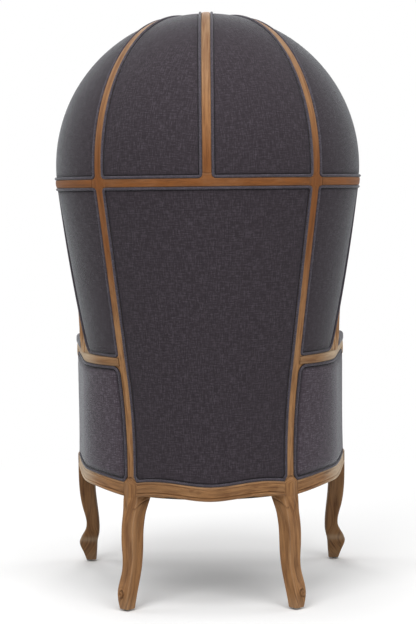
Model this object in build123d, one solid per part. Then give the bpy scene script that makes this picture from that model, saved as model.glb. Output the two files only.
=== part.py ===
from build123d import *
import os
from math import acos, atan2, cos, hypot, pi, radians, sin, sqrt, tan

os.makedirs("parts", exist_ok=True)

# A domed hall porter chair. Lengths are in millimetres and angles in degrees. +Z is up and the
# sitter faces -Y, so the sitter's left is +X. Every piece is built about the hood's own upright
# axis and is moved to the chair's frame as it is written.

# Hood: a dome on a bell that narrows towards the seat
overall_height = 1560.0
dome_radius = 412.0
seat_radius, shell_foot_z = 309.0, 250.0
bell_bend_z, bell_bend_reach = 482.5, 114.7
welt_crown = 2.4
panel_sink = 1.0

# Exposed frame members
strip_width = 23.0
frame_depth = 28.0
belt_drop, belt_height = 44.0, 21.0
post_azimuth = 42.7
cut_radius = 200.0
corner_radius = 11.0
stile_corner_radius = 34.0
arm_corner_radius = 24.0
hub_stub = 13.0
foot_stub = 36.0
crown_radius = 58.0
crown_rise = 3.0
crown_y = -160.0
hood_foot_y = 69.3
arch_depth = 30.0
arch_extra = 8.0

# Arms and tub
arm_z, arm_height = 638.0, 22.0
arm_width = 46.0
arm_step = 3.0
arm_start_heading, arm_end_heading = 35.0, 83.0
arm_bend_radius = 262.0
arm_scroll_y = -272.0
arm_scroll_radius = 20.0
arm_post_width = 30.0
arm_post_foot_y, arm_post_top_y = -322.0, -240.0
arm_post_bow = 26.0
arm_post_level_shares = (0.0, 0.35, 0.8, 1.0)
arm_post_bow_shares = (0.0, 1.0, 0.0, -0.3)
tub_start_heading, tub_end_heading = 42.7, 82.5
tub_bend_radius = 430.0

# Seat rails
rail_top_z = 318.0
rail_height = 37.0
rail_thickness = 28.0
rail_proud = 3.0
rail_wave = 10.0
rear_wave_shares = ((-1.0, 0.0), (-0.7, 1.0), (0.0, 0.0), (0.7, 1.0), (1.0, 0.0))
side_wave_shares = ((0.0, 0.5), (0.42, 0.0), (0.78, 1.0), (1.0, 0.0))
front_rail_y = -366.0
front_rail_bow = 26.0
apron_drop = 18.0
apron_shares = (
    (-1.0, 0.0), (-0.72, 0.45), (-0.36, -0.35), (0.0, -1.0), (0.36, -0.35), (0.72, 0.45), (1.0, 0.0),
)

# Legs
leg_head_width = 48.0
leg_level_shares = (0.0, 0.16, 0.33, 0.55, 0.71, 1.0)
rear_leg_swing_x, rear_leg_swing_y = 25.0, 96.0
rear_leg_x_shares = (1.0, 0.95, 0.57, 0.48, 0.47, 0.0)
rear_leg_y_shares = (1.0, 0.93, 0.70, 0.50, 0.35, 0.0)
rear_leg_size_shares = (0.58, 0.76, 0.69, 0.80, 0.87, 1.0)
post_foot_z = 336.0
front_leg_inset, front_leg_y = 23.5, -350.0
front_leg_dip = 16.0
front_leg_dip_shares = (0.25, 0.0, 1.0, 0.56, 0.12, 0.0)
front_leg_size_shares = (0.62, 1.04, 0.76, 0.88, 0.97, 1.0)
glide_radius, glide_height, glide_round = 9.0, 5.0, 1.5

# Upholstery
fit_gap = 0.3
welt_size = 7.0
panel_thickness = 9.0
pad_thickness = 38.0
lining_thickness = 22.0
deck_top_z = 342.0
arm_pad_back_y, arm_pad_front_y = 12.0, -205.0
arm_pad_height = 34.0
arm_pad_overhang = 8.0
arm_pad_round = 12.0

# Seat cushion
cushion_height = 112.0
cushion_crown = 16.0
cushion_crown_reach = 500.0
cushion_round = 11.0
cushion_corner = 15.0
cushion_clearance = 4.0
cushion_back_azimuth = 59.0
cushion_ear_width = 34.0
cushion_ear_gap = 10.0
cushion_front_y = -360.0
piping_size = 7.0
piping_inset = 14.0
piping_proud = 2.5

# Seat suspension and underside
spring_count, spring_side_room = 5, 13.3
spring_wire = 3.6
spring_swing = 22.0
spring_turns = 16
spring_bend_radius = 7.0
spring_drop = 12.0
clip_width, clip_height, clip_thickness = 12.0, 9.0, 2.5
block_leg = 105.0
block_low_z, block_high_z = 283.0, 298.0
screw_radius, screw_head_radius, screw_head_height = 2.2, 4.4, 2.6
screw_length, screw_spacing = 38.0, 22.0
screw_setback = 12.0
dust_cover_thickness = 1.2

# Derived places
dome_centre_z = overall_height - dome_radius - crown_rise
bell_rise = dome_centre_z - bell_bend_z
bell_flare = pi / 2 - atan2(seat_radius, bell_rise) - acos(dome_radius / hypot(seat_radius, bell_rise))
bell_bend_radius = bell_bend_reach / tan(bell_flare / 2)
crown_z = dome_centre_z + sqrt(dome_radius**2 - crown_y**2)
belt_z = dome_centre_z - belt_drop
belt_low_z, belt_high_z = belt_z - belt_height / 2, belt_z + belt_height / 2
hub_top_z = belt_high_z + hub_stub
arm_low_z, arm_top_z = arm_z - arm_height / 2, arm_z + arm_height / 2
rail_low_z = rail_top_z - rail_height
strip_half, leg_half = strip_width / 2, leg_head_width / 2
arm_radius = dome_radius / cos(bell_flare) - (dome_centre_z - arm_z) * tan(bell_flare)
pad_back = frame_depth + fit_gap
pad_face = pad_back + pad_thickness
deck_low_z = rail_top_z - spring_drop + spring_wire / 2 + fit_gap
pad_low_z = deck_top_z + fit_gap
far = 2 * overall_height
hood_axis_y = (front_rail_bow - front_rail_y - dome_radius) / 2


# Plan and height helpers
def plan_point(azimuth, along, across=0.0):
    """A plan point `along` a ray turned `azimuth` from +Y towards +X, and `across` it towards the front."""
    a = radians(azimuth)
    return (along * sin(a) + across * cos(a), along * cos(a) - across * sin(a))


def post_point(along, across=0.0):
    """A plan point on the left post's board, measured from the hood's axis."""
    return plan_point(post_azimuth, along, across)


def rib_azimuth():
    """The plan direction of the left rib, from the crown to the head of its post."""
    x, y = post_point(dome_radius)
    return Vector(x, y - crown_y).get_angle(Vector(0, 1))


def rib_point(along, across=0.0):
    """A plan point on the left rib's board, measured from the crown."""
    x, y = plan_point(rib_azimuth(), along, across)
    return (x, y + crown_y)


def mirrored(points):
    """Plan points and their mirror images, as one outline."""
    return [*points, *[(-x, y) for x, y in reversed(points)]]


def prism(points, low, high):
    """An upright prism on a plan outline."""
    face = make_face(Polyline(*[(x, y, low) for x, y in points], close=True))
    return extrude(face, high - low, dir=(0, 0, 1))


def layer(low, high):
    """Everything between two heights."""
    return Pos(0, 0, low) * Box(far, far, high - low, align=(Align.CENTER, Align.CENTER, Align.MIN))


def both_sides(left):
    """A left piece and its mirror image."""
    return left, mirror(left, Plane.YZ)


def as_it_is(solid):
    """The piece itself, where its mirror image isn't wanted."""
    return solid


def to_the_right(solid):
    """A left piece's mirror image."""
    return mirror(solid, Plane.YZ)


def left_half():
    """Everything on the sitter's left."""
    return Box(far, far, 2 * far, align=(Align.MIN, Align.CENTER, Align.CENTER))


def leg_room(gap):
    """The room that the left rear leg's head and its neck take in the panels, seen square on to the leg."""
    head, neck = leg_half + gap, strip_half + gap
    right = [(head, shell_foot_z), (head, rail_top_z), (neck, post_foot_z + gap)]
    outline = [(u, 0, z) for u, z in mirrored(right)]
    return Rot(0, 0, -post_azimuth) * extrude(make_face(Polyline(*outline, close=True)), far, dir=(0, 1, 0))


def hood_slab(near, depth):
    """A slab along the hood's leaning front, from `near` behind its front plane."""
    lean = Vector(0, crown_z - arm_z, crown_y - hood_foot_y).get_angle(Vector(0, 1, 0))
    place = Pos(0, crown_y, crown_z) * Rot(lean, 0, 0) * Pos(0, near - arch_depth / 2, 0)
    return place * Box(far, depth, 2 * far, align=(Align.CENTER, Align.MIN, Align.CENTER))


def behind_hood_front(distance):
    """Everything more than `distance` behind the hood's front plane."""
    return hood_slab(distance, far)


def round_edges(solid, radius, z, *directions):
    """Rounds the straight edges at height z that run along the given directions."""
    level = [e for e in solid.edges() if max(abs((e @ 0).Z - z), abs((e @ 1).Z - z)) < fit_gap]
    along = [Vector(*d).normalized() for d in directions]
    picked = [e for e in level if any(abs((e % 0).dot(d)) > cos(radians(1)) for d in along)]
    return fillet(picked, radius)


# Hood surface
def bell_join(offset):
    """Radius and height where the bell's cone meets the dome, moved in by `offset`."""
    r = dome_radius - offset
    return r * cos(bell_flare), dome_centre_z - r * sin(bell_flare)


def bell_edges(offset):
    """The hood's half section, moved in by `offset`: upright, a bend, a flared run, then the dome's arc."""
    r, foot = dome_radius - offset, seat_radius - offset
    join_r, join_z = bell_join(offset)
    bend_z = join_z - (join_r - foot) / tan(bell_flare)
    route = (foot, 0, shell_foot_z), (foot, 0, bend_z), (join_r, 0, join_z)
    bell = FilletPolyline(*route, radius=bell_bend_radius + offset)
    middle = (r * cos(radians(45)), 0, dome_centre_z + r * sin(radians(45)))
    return [*bell.edges(), ThreePointArc((join_r, 0, join_z), middle, (0, 0, dome_centre_z + r))]


def shell(outer, inner):
    """The hood as a full shell between two offsets from the wood's outer face, its seam at the front."""
    out, inn = bell_edges(outer), bell_edges(inner)
    edges = [*out, Line(out[-1] @ 1, inn[-1] @ 1), *inn, Line(inn[0] @ 0, out[0] @ 0)]
    return Rot(0, 0, -90) * revolve(Face(Wire(edges)), Axis.Z, 360)


def post_board(half, low, high):
    """The upright board that the left post is cut from, `half` wide each side of its middle."""
    outline = [post_point(0, -half), post_point(far, -half), post_point(far, half), post_point(0, half)]
    return prism(outline, low, high)


def ahead_of_post(gap):
    """Everything on the front side of the left post, `gap` clear of it."""
    across = strip_half + gap
    near, beyond = post_point(-far, across), post_point(far, across)
    return prism([near, beyond, post_point(far, far), post_point(-far, far)], 0, far)


# Tub surface: beside the post, a bend and then a straight run to the front
def tub_edge(start, headings, radius, offset, front_y, z):
    """The tub's plan line at height z, moved in by `offset`, from behind the post to front_y."""
    h0, h1 = radians(headings[0]), radians(headings[1])
    middle = (h0 + h1) / 2
    inward = {h: Vector(-sin(h), -cos(h)) for h in (h0, middle, h1)}
    centre = Vector(*start) + inward[h0] * radius
    p0, pm, p1 = [centre - inward[h] * (radius - offset) for h in (h0, middle, h1)]
    lead = p0 - Vector(cos(h0), -sin(h0)) * (2 * strip_width)
    end = p1 + Vector(cos(h1), -sin(h1)) * ((p1.Y - front_y) / sin(h1))
    lead, p0, pm, p1, end = [(p.X, p.Y, z) for p in (lead, p0, pm, p1, end)]
    return [Line(lead, p0), ThreePointArc(p0, pm, p1), Line(p1, end)]


def arm_line(offset, front_y, z):
    """The tub's plan line at the arm."""
    start = post_point(arm_radius + arm_step)
    return tub_edge(start, (arm_start_heading, arm_end_heading), arm_bend_radius, offset, front_y, z)


def rail_line(offset, front_y, z):
    """The tub's plan line at the seat rail."""
    start = post_point(seat_radius + arm_step)
    return tub_edge(start, (tub_start_heading, tub_end_heading), tub_bend_radius, offset, front_y, z)


def band_face(line, outer, inner, front_y, z):
    """A flat band between two offsets of a plan line."""
    out, inn = line(outer, front_y, z), line(inner, front_y, z)
    return Face(Wire([*out, Line(out[-1] @ 1, inn[-1] @ 1), *inn, Line(inn[0] @ 0, out[0] @ 0)]))


def flat_band(line, outer, inner, front_y, low, high):
    """An upright band between two offsets of a plan line."""
    return extrude(band_face(line, outer, inner, front_y, low), high - low, dir=(0, 0, 1))


def tub_band(outer, inner, front_y, low, high):
    """The tub's wall between two offsets and two heights, ruled from the seat rail's line to the arm's."""
    base = band_face(rail_line, outer, inner, front_y, rail_low_z)
    top = band_face(arm_line, outer, inner, front_y, arm_z)
    return loft([base, top], ruled=True) & layer(low, high)


def well(offset, low, high):
    """The seat frame's inside, `offset` in from its outer faces, as a solid."""
    line = rail_line(offset, front_rail_y + offset, low)
    other = [e.mirror(Plane.YZ) for e in line]
    lead, tip = line[0] @ 0, line[-1] @ 1
    front = ThreePointArc(tip, (0, front_rail_y - front_rail_bow + offset, low), (-tip.X, tip.Y, low))
    plan = Face(Wire([*line, front, *other, Line(lead, (-lead.X, lead.Y, low))]))
    tub = extrude(plan, high - low, dir=(0, 0, 1))
    upwards = Align.CENTER, Align.CENTER, Align.MIN
    return tub + Pos(0, 0, low) * Cylinder(seat_radius - offset, high - low, align=upwards)


front_leg_x = (rail_line(front_leg_inset, front_leg_y, 0)[-1] @ 1).X


# Serpentine edges
def above_wave(points, across):
    """Everything above a spline, extruded along `across`: +X for (y, z) points, or Y for (x, z) points."""
    place = (lambda u, z: (0, u, z)) if across[0] else (lambda u, z: (u, 0, z))
    wave = Spline(*[place(u, z) for u, z in points])
    (first, first_z), (last, last_z) = points[0], points[-1]
    sign = 1 if last > first else -1
    tail = Polyline(
        place(last, last_z),
        place(sign * far, last_z),
        place(sign * far, far),
        place(-sign * far, far),
        place(-sign * far, first_z),
        place(first, first_z),
    )
    return extrude(Face(Wire([*wave.edges(), *tail.edges()])), far, dir=across)


def above_rear_wave(z):
    """Everything above the rear rail's serpentine edge at height z."""
    half = post_point(seat_radius)[0]
    return above_wave([(u * half, z + rail_wave * v) for u, v in rear_wave_shares], (0, 1, 0))


def above_side_wave(z):
    """Everything above the left rail's serpentine edge at height z."""
    span = post_point(seat_radius)[1] - front_leg_y
    return above_wave([(front_leg_y + u * span, z + rail_wave * v) for u, v in side_wave_shares], (1, 0, 0))


def above_apron(z):
    """Everything above the front rail's shaped lower edge."""
    return above_wave([(u * front_leg_x, z + apron_drop * v) for u, v in apron_shares], (0, -1, 0))


def behind_arm_post(shift):
    """Everything behind the arm post's swept front edge, moved back by `shift`."""
    sweep, height = arm_post_top_y - arm_post_foot_y, arm_z - rail_low_z
    foot_y = arm_post_foot_y + shift
    table = zip(arm_post_level_shares, arm_post_bow_shares)
    points = [(foot_y + s * sweep + b * arm_post_bow, rail_low_z + s * height) for s, b in table]
    edge = Spline(*[(0, y, z) for y, z in points])
    (low_y, low_z), (high_y, high_z) = points[0], points[-1]
    corners = (high_y, high_z), (high_y, far), (far, far), (far, -far), (low_y, -far), (low_y, low_z)
    tail = Polyline(*[(0, y, z) for y, z in corners])
    return extrude(Face(Wire([*edge.edges(), *tail.edges()])), far, dir=(1, 0, 0))


# Openings that the wood frames: each shrinks on every side by `inset`
def back_opening(inset):
    """Between the two posts, below the belt rail and above the rear rail."""
    across, top = -(strip_half + inset), belt_low_z - inset
    body = prism(mirrored([post_point(cut_radius, across), post_point(far / 4, across)]), shell_foot_z, top)
    left = post_point(1)
    body = round_edges(body, corner_radius - inset, top, left, (-left[0], left[1]))
    for side in both_sides(leg_room(inset)):
        body -= side
    return body & above_rear_wave(rail_top_z + inset)


def side_outline(inset):
    """A plan outline from the left post outwards and forwards."""
    across = strip_half + inset
    near, beyond = post_point(cut_radius, across), post_point(far / 4, across)
    return [near, beyond, (far / 4, -dome_radius), (cut_radius, -dome_radius)]


def side_opening(inset):
    """Between the left post and the hood's stile, above the arm rail and below the belt rail."""
    low, high = arm_top_z + inset, belt_low_z - inset
    body = prism(side_outline(inset), low, high) & behind_hood_front(arch_depth + inset)
    post, stile = post_point(1), (1, 0)
    body = round_edges(body, corner_radius - inset, high, post, stile)
    body = round_edges(body, corner_radius - inset, low, post)
    return round_edges(body, stile_corner_radius - inset, low, stile)


def arm_opening(inset):
    """In the tub's side, between the left post and the arm post, under the arm rail."""
    top = arm_low_z - inset
    body = prism(side_outline(inset), shell_foot_z, top)
    body = round_edges(body, arm_corner_radius - inset, top, post_point(1))
    body = body & above_side_wave(rail_top_z + inset) & behind_arm_post(arm_post_width + inset)
    return body - leg_room(inset)


def crown_disc(extra):
    """The upright cylinder at the crown where the ribs meet."""
    upwards = Align.CENTER, Align.CENTER, Align.MIN
    return Pos(0, crown_y, dome_centre_z) * Cylinder(crown_radius + extra, dome_radius * 2, align=upwards)


def dome_back_opening(inset):
    """Between the middle rib and the left rib, above the belt rail."""
    low, across = belt_high_z + inset, strip_half + inset
    turn = radians(rib_azimuth())
    apex = (across, crown_y + across * (1 + cos(turn)) / sin(turn))
    body = prism([apex, (across, far / 4), rib_point(far / 3, -across)], low, overall_height + dome_radius)
    body = round_edges(body, corner_radius - inset, low, (0, 1), plan_point(rib_azimuth(), 1))
    return body - crown_disc(inset)


def dome_side_opening(inset):
    """Between the left rib and the hood's arch, above the belt rail."""
    low, across = belt_high_z + inset, strip_half + inset
    front_y = crown_y - dome_radius
    outline = [rib_point(0, across), rib_point(far / 3, across), (far / 3, front_y), (0, front_y)]
    body = prism(outline, low, overall_height + dome_radius) & behind_hood_front(arch_depth + inset)
    body = round_edges(body, corner_radius - inset, low, plan_point(rib_azimuth(), 1), (1, 0))
    return body - crown_disc(inset)


# Frame members
def rear_posts(wood):
    """The posts that rise from the rear legs, each ending in a hub on the belt rail."""
    keep = post_board(strip_half + hub_stub, post_foot_z, hub_top_z)
    drop = [ahead_of_post(0) & layer(0, arm_top_z), back_opening(0), side_opening(0)]
    drop += [dome_back_opening(0), dome_side_opening(0)]
    pair = []
    for flip in (as_it_is, to_the_right):
        post = wood & flip(keep)
        for cutter in drop:
            post -= flip(cutter)
        pair.append(post)
    return pair


def belt_back(wood):
    """The belt rail between the posts, with the stub that carries the middle rib."""
    rail = wood & layer(belt_low_z, hub_top_z) & prism([(0, 0), *mirrored([post_point(far)])], 0, far)
    for side in both_sides(post_board(strip_half + hub_stub, 0, far) + dome_back_opening(0)):
        rail -= side
    return rail


def belt_sides(wood):
    """The belt rail from each post's hub to the hood's front."""
    rail = wood & layer(belt_low_z, belt_high_z)
    return both_sides(rail & ahead_of_post(hub_stub) & behind_hood_front(arch_depth + hub_stub))


def ribs(wood):
    """The middle rib and the two side ribs, from the belt rail's stubs to the crown."""
    blank = (wood & layer(hub_top_z, far) & behind_hood_front(arch_depth)) - crown_disc(0)
    backwards = Align.CENTER, Align.MIN, Align.CENTER
    middle = blank & Pos(0, crown_y, 0) * Box(strip_width, far, far, align=backwards)
    ends = (0, -strip_half), (far, -strip_half), (far, strip_half), (0, strip_half)
    return middle, both_sides(blank & prism([rib_point(*end) for end in ends], 0, far))


def hood_front(wood):
    """The leaning front of the hood: on each side a stile and an arm of the arch, with stubs for the rest."""
    thick = shell(0, frame_depth + arch_extra) & hood_slab(0, arch_depth)
    stubs = (wood & hood_slab(arch_depth, foot_stub)) - side_opening(0) - dome_side_opening(0)
    low_stub = stubs & layer(arm_top_z, arm_top_z + foot_stub)
    belt_stub = stubs & layer(belt_low_z - hub_stub, hub_top_z) & hood_slab(arch_depth, hub_stub)
    whole = (thick + low_stub + belt_stub) & left_half()
    stile = whole & layer(arm_top_z, hub_top_z)
    arch = (whole & layer(hub_top_z, far)) - crown_disc(0)
    return both_sides(stile), both_sides(arch)


def crown_block():
    """The block at the crown that the ribs and the arch run into."""
    return shell(-crown_rise, frame_depth) & crown_disc(0) & behind_hood_front(0)


def arm_rails():
    """The arm rails, from the posts to a rolled front end, with an ear under each at the post."""
    rail = flat_band(arm_line, 0, arm_width, arm_scroll_y, arm_low_z, arm_top_z) & ahead_of_post(0)
    outer, inner = [(arm_line(o, arm_scroll_y, 0)[-1] @ 1).X for o in (0, arm_width)]
    centre = Pos((outer + inner) / 2, arm_scroll_y, arm_top_z - arm_scroll_radius)
    roll = centre * Rot(0, 90, 0) * Cylinder(arm_scroll_radius, outer - inner)
    ear = tub_band(0, frame_depth, front_leg_y, arm_low_z - foot_stub, arm_low_z) & ahead_of_post(0)
    return both_sides(rail + roll + (ear - ahead_of_post(foot_stub) - arm_opening(0)))


def arm_posts():
    """The swept supports between the side rails and the arm rails."""
    blank = tub_band(0, rail_thickness, front_leg_y, rail_low_z, arm_low_z) & above_side_wave(rail_top_z)
    return both_sides((blank & behind_arm_post(0)) - behind_arm_post(arm_post_width))


# Seat frame
def seat_ring(outer, low, high):
    """A closed ring of rail, `outer` out from the seat frame's line."""
    return well(outer, low, high) - well(rail_thickness, low, high)


def rear_rail():
    """The serpentine rear seat rail between the rear legs' heads."""
    ring = seat_ring(-rail_proud, shell_foot_z, post_foot_z)
    rail = ring & prism([(0, 0), *mirrored([post_point(far)])], 0, far)
    rail = (rail & above_rear_wave(rail_low_z)) - above_rear_wave(rail_top_z)
    for board in both_sides(post_board(leg_half, 0, far)):
        rail -= board
    return rail


def side_rails():
    """The serpentine side rails between the legs' heads."""
    rail = flat_band(rail_line, 0, rail_thickness, front_leg_y + leg_half, shell_foot_z, arm_z)
    rail = (rail & above_side_wave(rail_low_z)) - above_side_wave(rail_top_z)
    return both_sides(rail & ahead_of_post(leg_half - strip_half))


def front_rail():
    """The bowed front rail with its shaped lower edge."""
    reach = Align.CENTER, Align.MAX, Align.CENTER
    between = Pos(0, front_leg_y + leg_half, 0) * Box(2 * (front_leg_x - leg_half), far, far, align=reach)
    return seat_ring(0, rail_low_z - apron_drop, rail_top_z) & between & above_apron(rail_low_z)


def leg_levels():
    """Heights of a leg's sections, from the glide to the seat rail."""
    return [glide_height + s * (rail_low_z - glide_height) for s in leg_level_shares]


def leg_shank(centres, sizes, turn):
    """A smooth leg through square sections at the leg's levels."""
    table = zip(centres, leg_levels(), sizes)
    return loft([Pos(x, y, z) * Rot(0, 0, turn) * Rectangle(size, size) for (x, y), z, size in table])


def head_prism(x, y, turn, low, high, gap=0):
    """A leg's square head between two heights, grown by `gap`."""
    width = leg_head_width + 2 * gap
    block = Box(width, width, high - low, align=(Align.CENTER, Align.CENTER, Align.MIN))
    return Pos(x, y, low) * Rot(0, 0, turn) * block


def inside_rails(low, high):
    """A flat layer inside the seat rails, clear of the rails and of the legs' heads."""
    flat = well(pad_back, low, high)
    rear, front = post_point(seat_radius - leg_half), (front_leg_x, front_leg_y)
    for (x, y), turn in ((rear, -post_azimuth), (front, 0)):
        for head in both_sides(head_prism(x, y, turn, low, high, fit_gap)):
            flat -= head
    return flat


def rear_leg_centres():
    """Plan centres of the left rear leg's sections."""
    x, y = post_point(seat_radius - leg_half)
    swings = zip(rear_leg_x_shares, rear_leg_y_shares)
    return [(x + rear_leg_swing_x * u, y + rear_leg_swing_y * v) for u, v in swings]


def rear_leg():
    """The left rear leg: a shank, a square head between the rails and a neck up to the post."""
    sizes = [leg_head_width * s for s in rear_leg_size_shares]
    x, y = post_point(seat_radius - leg_half)
    neck_x, neck_y = post_point(seat_radius - frame_depth / 2)
    base = Pos(x, y, rail_top_z) * Rot(0, 0, -post_azimuth) * Rectangle(leg_head_width, leg_head_width)
    neck = Pos(neck_x, neck_y, post_foot_z) * Rot(0, 0, -post_azimuth) * Rectangle(strip_width, frame_depth)
    shank = leg_shank(rear_leg_centres(), sizes, -post_azimuth)
    return shank + head_prism(x, y, -post_azimuth, rail_low_z, rail_top_z) + loft([base, neck], ruled=True)


def front_leg_centres():
    """Plan centres of the left front leg's sections."""
    return [(front_leg_x - front_leg_dip * s, front_leg_y + front_leg_dip * s) for s in front_leg_dip_shares]


def front_leg():
    """The left front leg: a shank and a square head."""
    sizes = [leg_head_width * s for s in front_leg_size_shares]
    shank = leg_shank(front_leg_centres(), sizes, 0)
    return shank + head_prism(front_leg_x, front_leg_y, 0, rail_low_z, rail_top_z)


def glides():
    """The four metal glides under the feet."""
    feet = [front_leg_centres()[0], rear_leg_centres()[0]]
    glide = Cylinder(glide_radius, glide_height, align=(Align.CENTER, Align.CENTER, Align.MIN))
    glide = fillet(glide.edges().group_by(Axis.Z)[0], glide_round)
    return [Pos(side * x, y, 0) * glide for x, y in feet for side in (1, -1)]


def corner_sets():
    """Each left corner's head centre and the plan direction from it to the seat's middle."""
    rear = post_point(seat_radius - leg_half)
    return [(rear, post_azimuth + 180), ((front_leg_x, front_leg_y), -45)]


def block_blank(corner, azimuth):
    """A triangular block across a corner, inside the rails."""
    wide = [plan_point(azimuth, leg_half + rail_thickness, side * block_leg) for side in (1, -1)]
    outline = [(corner[0] + x, corner[1] + y) for x, y in (*wide, plan_point(azimuth, -block_leg))]
    return prism(outline, block_low_z, block_high_z) & well(rail_thickness, block_low_z, block_high_z)


def screws(corner, azimuth):
    """The two screws that run through a corner block into the leg's head."""
    turn = Rot(0, 0, -azimuth) * Rot(-90, 0, 0)
    low = Align.CENTER, Align.CENTER, Align.MIN
    solids = []
    for side in (-1, 1):
        x, y = plan_point(azimuth, leg_half + rail_thickness, side * screw_spacing / 2)
        place = Pos(corner[0] + x, corner[1] + y, (block_low_z + block_high_z) / 2) * turn
        shaft = Pos(0, 0, -screw_length) * Cylinder(screw_radius, screw_length, align=low)
        solids.append(place * (shaft + Cylinder(screw_head_radius, screw_head_height, align=low)))
    return solids


def well_front_y(x, offset):
    """The front rail's plan y at x, `offset` behind its outer face."""
    return front_rail_y + offset - front_rail_bow * (1 - (x / front_leg_x) ** 2)


def spring_places():
    """Each spring's x and the y of the rail faces that it runs between."""
    half = post_point(seat_radius - leg_half)[0] - leg_head_width - spring_side_room
    for i in range(spring_count):
        x = half * (2 * i / (spring_count - 1) - 1)
        yield x, well_front_y(x, rail_thickness), sqrt((seat_radius - rail_thickness) ** 2 - x**2)


def springs():
    """Zigzag seat springs, each one bent wire from the front rail's clip to the rear rail's."""
    solids = []
    z = rail_top_z - spring_drop
    for x, front, rear in spring_places():
        start, end = front + 2 * clip_thickness, rear - 3 * clip_thickness
        step = (end - start) / (spring_turns + 1)
        route = [(x, start, z)]
        for k in range(spring_turns):
            route.append((x + spring_swing * (1 if k % 2 else -1), start + step * (k + 1), z))
        path = FilletPolyline(*route, (x, end, z), radius=spring_bend_radius)
        solids.append(sweep(Plane(path @ 0, z_dir=path % 0) * Circle(spring_wire / 2), path=path))
    return solids


def clips():
    """The clips that hold each spring's ends to the rails."""
    block = Box(clip_width, clip_thickness, clip_height)
    z = deck_low_z - fit_gap - clip_height / 2
    solids = []
    for x, front, rear in spring_places():
        solids.append(Pos(x, front + clip_thickness, z) * block)
        solids.append(Pos(x, rear - 2 * clip_thickness, z) * block)
    return solids


# Upholstery
def framed(opening, skin, cord, flip=as_it_is):
    """A panel and the welt round it, both fitted inside one opening."""
    outer, inner = opening(fit_gap), opening(fit_gap + welt_size)
    return skin & flip(opening(2 * fit_gap + welt_size)), (cord & flip(outer)) - flip(inner)


def inner_back():
    """The padded inside back, up to the belt rail."""
    pad = shell(pad_back, pad_face) & layer(pad_low_z, belt_z)
    return pad & prism([(0, 0), *mirrored([post_point(far, -fit_gap)])], 0, far)


def inner_sides():
    """The padded inside of the hood's sides, from the back to the stiles, notched for the arm rails."""
    pad = shell(pad_back, pad_face) & layer(pad_low_z, belt_z) & behind_hood_front(arch_depth + fit_gap)
    low, high = arm_low_z - fit_gap, arm_top_z + fit_gap
    room = flat_band(arm_line, -arm_width, arm_width + fit_gap, arm_scroll_y, low, high)
    near, beyond = post_point(-far, fit_gap), post_point(far, fit_gap)
    outline = [near, beyond, post_point(far, far), post_point(-far, far)]
    return both_sides((pad & prism(outline, 0, far) & left_half()) - room)


def inner_arms():
    """The padded inside of the arms, between the hood's sides and the arm posts."""
    pad = tub_band(pad_back, pad_face, front_leg_y, pad_low_z, arm_low_z - fit_gap)
    return both_sides((pad & behind_arm_post(arm_post_width + fit_gap)) - behind_hood_front(arch_depth))


def arm_pads():
    """The padded elbow rests on the arm rails."""
    low = arm_top_z + fit_gap
    length = arm_pad_back_y - arm_pad_front_y
    pad = flat_band(arm_line, -arm_pad_overhang, arm_width, arm_scroll_y, low, low + arm_pad_height)
    pad &= Pos(0, arm_pad_back_y, 0) * Box(far, length, far, align=(Align.CENTER, Align.MAX, Align.CENTER))
    return both_sides(fillet(pad.edges().group_by(Axis.Z)[-1], arm_pad_round))


def dome_lining():
    """The padded lining of the dome, above the belt rail."""
    lining = shell(pad_back, pad_back + lining_thickness) & layer(belt_z + fit_gap, far)
    return lining & behind_hood_front(arch_depth + fit_gap)


def cushion_corners(proud):
    """The cushion's left plan corners: the back's end, the tub's bend, inside the ear and the ear's tips."""
    inset = pad_face + cushion_clearance - proud
    run = rail_line(inset, arm_post_foot_y + arm_post_bow - cushion_ear_gap + proud, 0)[-1]
    start = Vector(*plan_point(cushion_back_azimuth, seat_radius - inset))
    tip_x = (run @ 1).X + cushion_ear_width
    return [start, run @ 0, run @ 1, Vector(tip_x, (run @ 1).Y), Vector(tip_x, cushion_front_y - proud)]


def cushion_plan(proud, z):
    """The seat cushion's outline: a round back, sides inside the arms and an ear before each arm post."""
    points = cushion_corners(proud)
    half = Polyline(*points).edges()
    start, tip = points[0], points[-1]
    front = ThreePointArc(tip, (0, cushion_front_y - front_rail_bow - proud, 0), (-tip.X, tip.Y, 0))
    back_y = seat_radius - pad_face - cushion_clearance + proud
    rear = ThreePointArc(start, (0, back_y, 0), (-start.X, start.Y, 0))
    return Pos(0, 0, z) * Face(Wire([*half, front, *[e.mirror(Plane.YZ) for e in half], rear]))


def cushion():
    """The loose seat cushion, crowned, with its piping round both rims."""
    low, high = pad_low_z, pad_low_z + cushion_height
    body = extrude(cushion_plan(0, low), cushion_height + cushion_crown, dir=(0, 0, 1))
    uprights = body.edges().filter_by(Axis.Z)
    corners = [(p.X, p.Y) for p in cushion_corners(0)]
    feet = [(e, e @ 0) for e in uprights]
    near = [e for e, foot in feet if any(abs(abs(foot.X) - x) + abs(foot.Y - y) < fit_gap for x, y in corners)]
    body = fillet(near, cushion_corner)
    ball = cushion_crown_reach**2 / (2 * cushion_crown)
    body &= Pos(0, 0, high + cushion_crown - ball) * Sphere(ball)
    faces = body.faces().sort_by(Axis.Z)
    body = fillet([*faces[0].edges(), *faces[-1].edges()], cushion_round)
    cords = []
    for z in (low + piping_inset, high - piping_inset - piping_size):
        plan = cushion_plan(piping_proud, z) - cushion_plan(piping_proud - piping_size, z)
        ring = extrude(plan, piping_size, dir=(0, 0, 1))
        cords.append(ring)
        body -= ring
    return body, cords


def save(name, *solids):
    """Writes the solids as one node, moved from the hood's axis to the chair's frame."""
    placed = [Pos(0, hood_axis_y, 0) * piece for s in solids for piece in s.solids()]
    export_step(placed[0] if len(placed) == 1 else Compound(children=placed), f"parts/{name}.step")


def save_pair(name, pair):
    """Writes a left and a right node."""
    save(f"{name}_left", pair[0])
    save(f"{name}_right", pair[1])


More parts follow.
